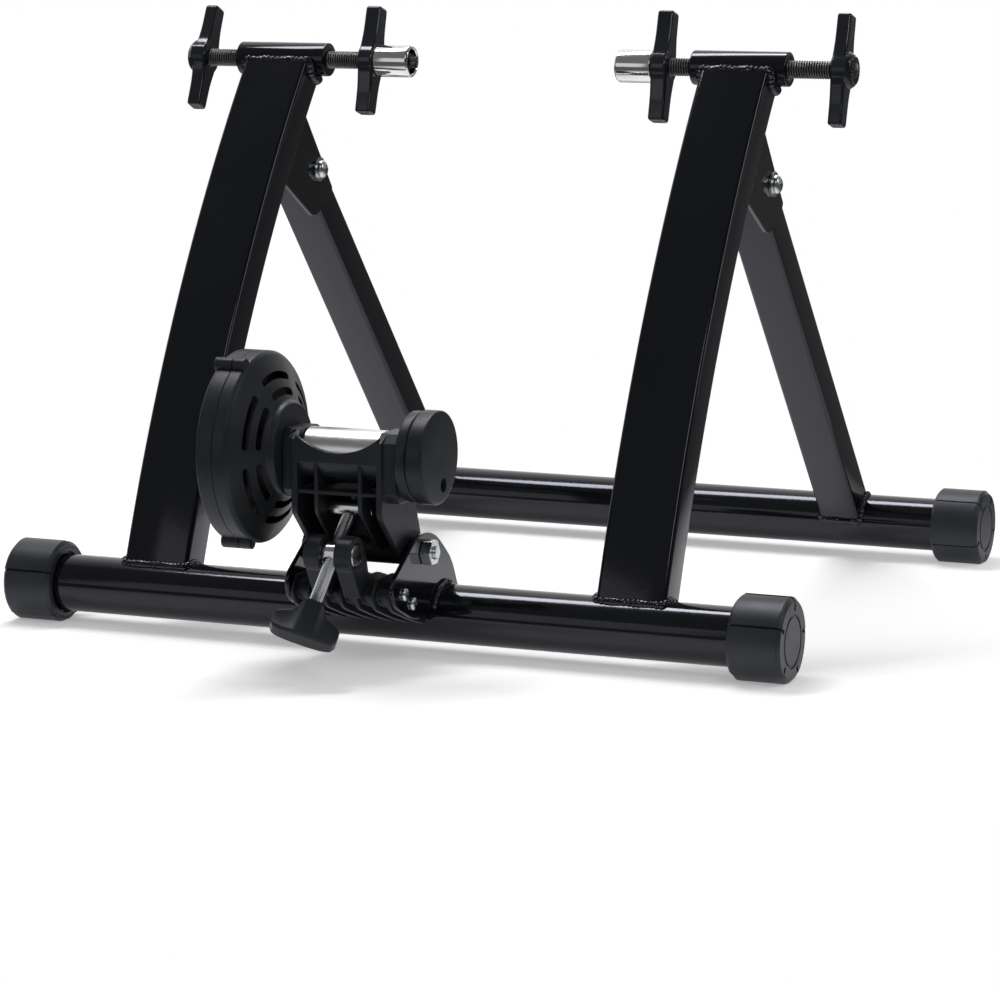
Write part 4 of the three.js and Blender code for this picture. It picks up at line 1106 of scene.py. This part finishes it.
def tension_knob():
    """The tension screw's grip: a hub that flares into two scooped wings."""
    sideways = screw_axis.cross(ACROSS)
    wings = ACROSS * math.cos(GRIP_TURN) + sideways * math.sin(GRIP_TURN)
    through = sideways * math.cos(GRIP_TURN) - ACROSS * math.sin(GRIP_TURN)
    hub = lower_place - screw_axis * GRIP.start
    rows = [(-1, row) for row in reversed(GRIP_SECTIONS[1:])] + [(1, row) for row in GRIP_SECTIONS]
    loops = []
    for sign, row in rows:
        waist = row.top + (row.bottom - row.top) * GRIP_WAIST_SHARE
        scooped = row.above + (row.below - row.above) * GRIP_SCOOP_SHARE
        front = [
            (row.top, row.above - GRIP.edge),
            (row.top + GRIP.edge, row.above),
            (waist, scooped),
            (row.bottom - GRIP.edge, row.below),
            (row.bottom, row.below - GRIP.edge),
        ]
        back = [(down, -out) for down, out in reversed(front)]
        centre = hub + wings * (sign * row.across)
        loops.append([centre - screw_axis * down + through * out for down, out in front + back])
    bore = pin_profile(TENSION.radius + FIT.gap, -GRIP.insert, GRIP.insert)
    socket = turned("socket", bore, hub, screw_axis, HOLE_SIDES)
    grip = dress(carved(skinned("tension_grip", loops), [socket]), "tension_knob")
    edge_rounding(grip, GRIP.rounding, GRIP_EDGE_ANGLE)


tension_screw()
tension_knob()

# Everything that has no detailed piece of its own keeps its solid's form with softened edges
for node in sorted(frame["nodes"]):
    if node not in dressed:
        softened(node, GLOSSY_PLASTIC if node.endswith(("clamp_knob", "lock_knob")) else None)


# Camera, studio light and floor

def studio_camera():
    data = bpy.data.cameras.new("camera")
    data.lens = CAMERA.lens
    data.sensor_width = CAMERA.sensor
    data.sensor_fit = "HORIZONTAL"
    data.clip_start, data.clip_end = CAMERA.clip
    camera = object_from("camera", data)
    camera.location = (CAMERA.right, bar_place.y - CAMERA.before_bar, CAMERA.height)
    camera.rotation_euler = [math.radians(angle) for angle in CAMERA.turn]
    bpy.context.scene.camera = camera


def studio_world():
    """Camera rays see a white backdrop. For mirror rays it is dimmer on the right and ends in a dark room
    before the object, and diffuse rays get an even light."""
    world = bpy.data.worlds.new("studio")
    bpy.context.scene.world = world
    world.use_nodes = True
    nodes, links = world.node_tree.nodes, world.node_tree.links
    nodes.clear()
    rays, seen = seen_rays(nodes, links)
    direction = nodes.new("ShaderNodeTexCoord")
    parts = nodes.new("ShaderNodeSeparateXYZ")
    links.new(direction.outputs["Generated"], parts.inputs["Vector"])
    backdrop = glow(nodes, "ShaderNodeBackground", BACKDROP_LEVEL)
    mirrored = glow(nodes, "ShaderNodeBackground", BACKDROP_LEVEL)
    even = glow(nodes, "ShaderNodeBackground", EVEN_LEVEL)
    towards_room = span(nodes, links, parts.outputs["Y"], BACKDROP_SPAN, (ROOM_LEVEL, BACKDROP_LEVEL))
    towards_right = span(nodes, links, parts.outputs["X"], SIDE_SPAN, (BACKDROP_LEVEL, SIDE_LEVEL))
    shaded = calculated(nodes, links, "MULTIPLY", towards_room, towards_right)
    links.new(shaded, mirrored.inputs["Strength"])
    shown = blended(nodes, links, rays.outputs["Is Camera Ray"], mirrored.outputs[0], backdrop.outputs[0])
    output = nodes.new("ShaderNodeOutputWorld")
    links.new(blended(nodes, links, seen, even.outputs[0], shown), output.inputs["Surface"])


def floor_finish():
    """Pale, a little lifted, and white past the object's shadow."""
    material, nodes, links = node_tree("pale_floor")
    shader = nodes["Principled BSDF"]
    shader.inputs["Roughness"].default_value = FLOOR_ROUGHNESS
    shader.inputs["Specular IOR Level"].default_value = 0
    place = nodes.new("ShaderNodeTexCoord")
    patches = noise(nodes, links, place.outputs["Object"], FLOOR_PATCH)
    links.new(ramp(nodes, links, patches, FLOOR_TONES), shader.inputs["Base Color"])
    distance = nodes.new("ShaderNodeVectorMath")
    distance.operation = "LENGTH"
    links.new(place.outputs["Object"], distance.inputs[0])
    far = span(nodes, links, distance.outputs["Value"], SHADOW_SPAN, (0, 1))
    lifted = nodes.new("ShaderNodeAddShader")
    links.new(shader.outputs["BSDF"], lifted.inputs[0])
    links.new(glow(nodes, "ShaderNodeEmission", FLOOR_GLOW).outputs[0], lifted.inputs[1])
    white = glow(nodes, "ShaderNodeEmission", BACKDROP_LEVEL)
    shown = blended(nodes, links, far, lifted.outputs[0], white.outputs[0])
    rays, seen = seen_rays(nodes, links)
    levels = (BACKDROP_LEVEL, FAR_FLOOR_IN_MIRRORS)
    links.new(span(nodes, links, rays.outputs["Is Glossy Ray"], (0, 1), levels), white.inputs["Strength"])
    links.new(blended(nodes, links, seen, shader.outputs["BSDF"], shown),
              nodes["Material Output"].inputs["Surface"])
    return material


def studio_floor():
    corners = [(x * FLOOR_HALF, y * FLOOR_HALF, 0) for x, y in ((-1, -1), (1, -1), (1, 1), (-1, 1))]
    floor = mesh_from("studio_floor", corners, [(0, 1, 2, 3)])
    floor.data.materials.append(floor_finish())


def soft_box(name, place, aim, size, power):
    data = bpy.data.lights.new(name, "AREA")
    data.shape = "RECTANGLE"
    data.size, data.size_y = size
    data.energy = power
    lamp = object_from(name, data)
    lamp.location = place
    lamp.rotation_euler = (Vector(aim) - lamp.location).to_track_quat("-Z", "Y").to_euler()


studio_camera()
studio_world()
studio_floor()
for name, box in SOFT_BOXES.items():
    soft_box(name, **box)

bpy.context.scene.view_settings.view_transform = "Standard"
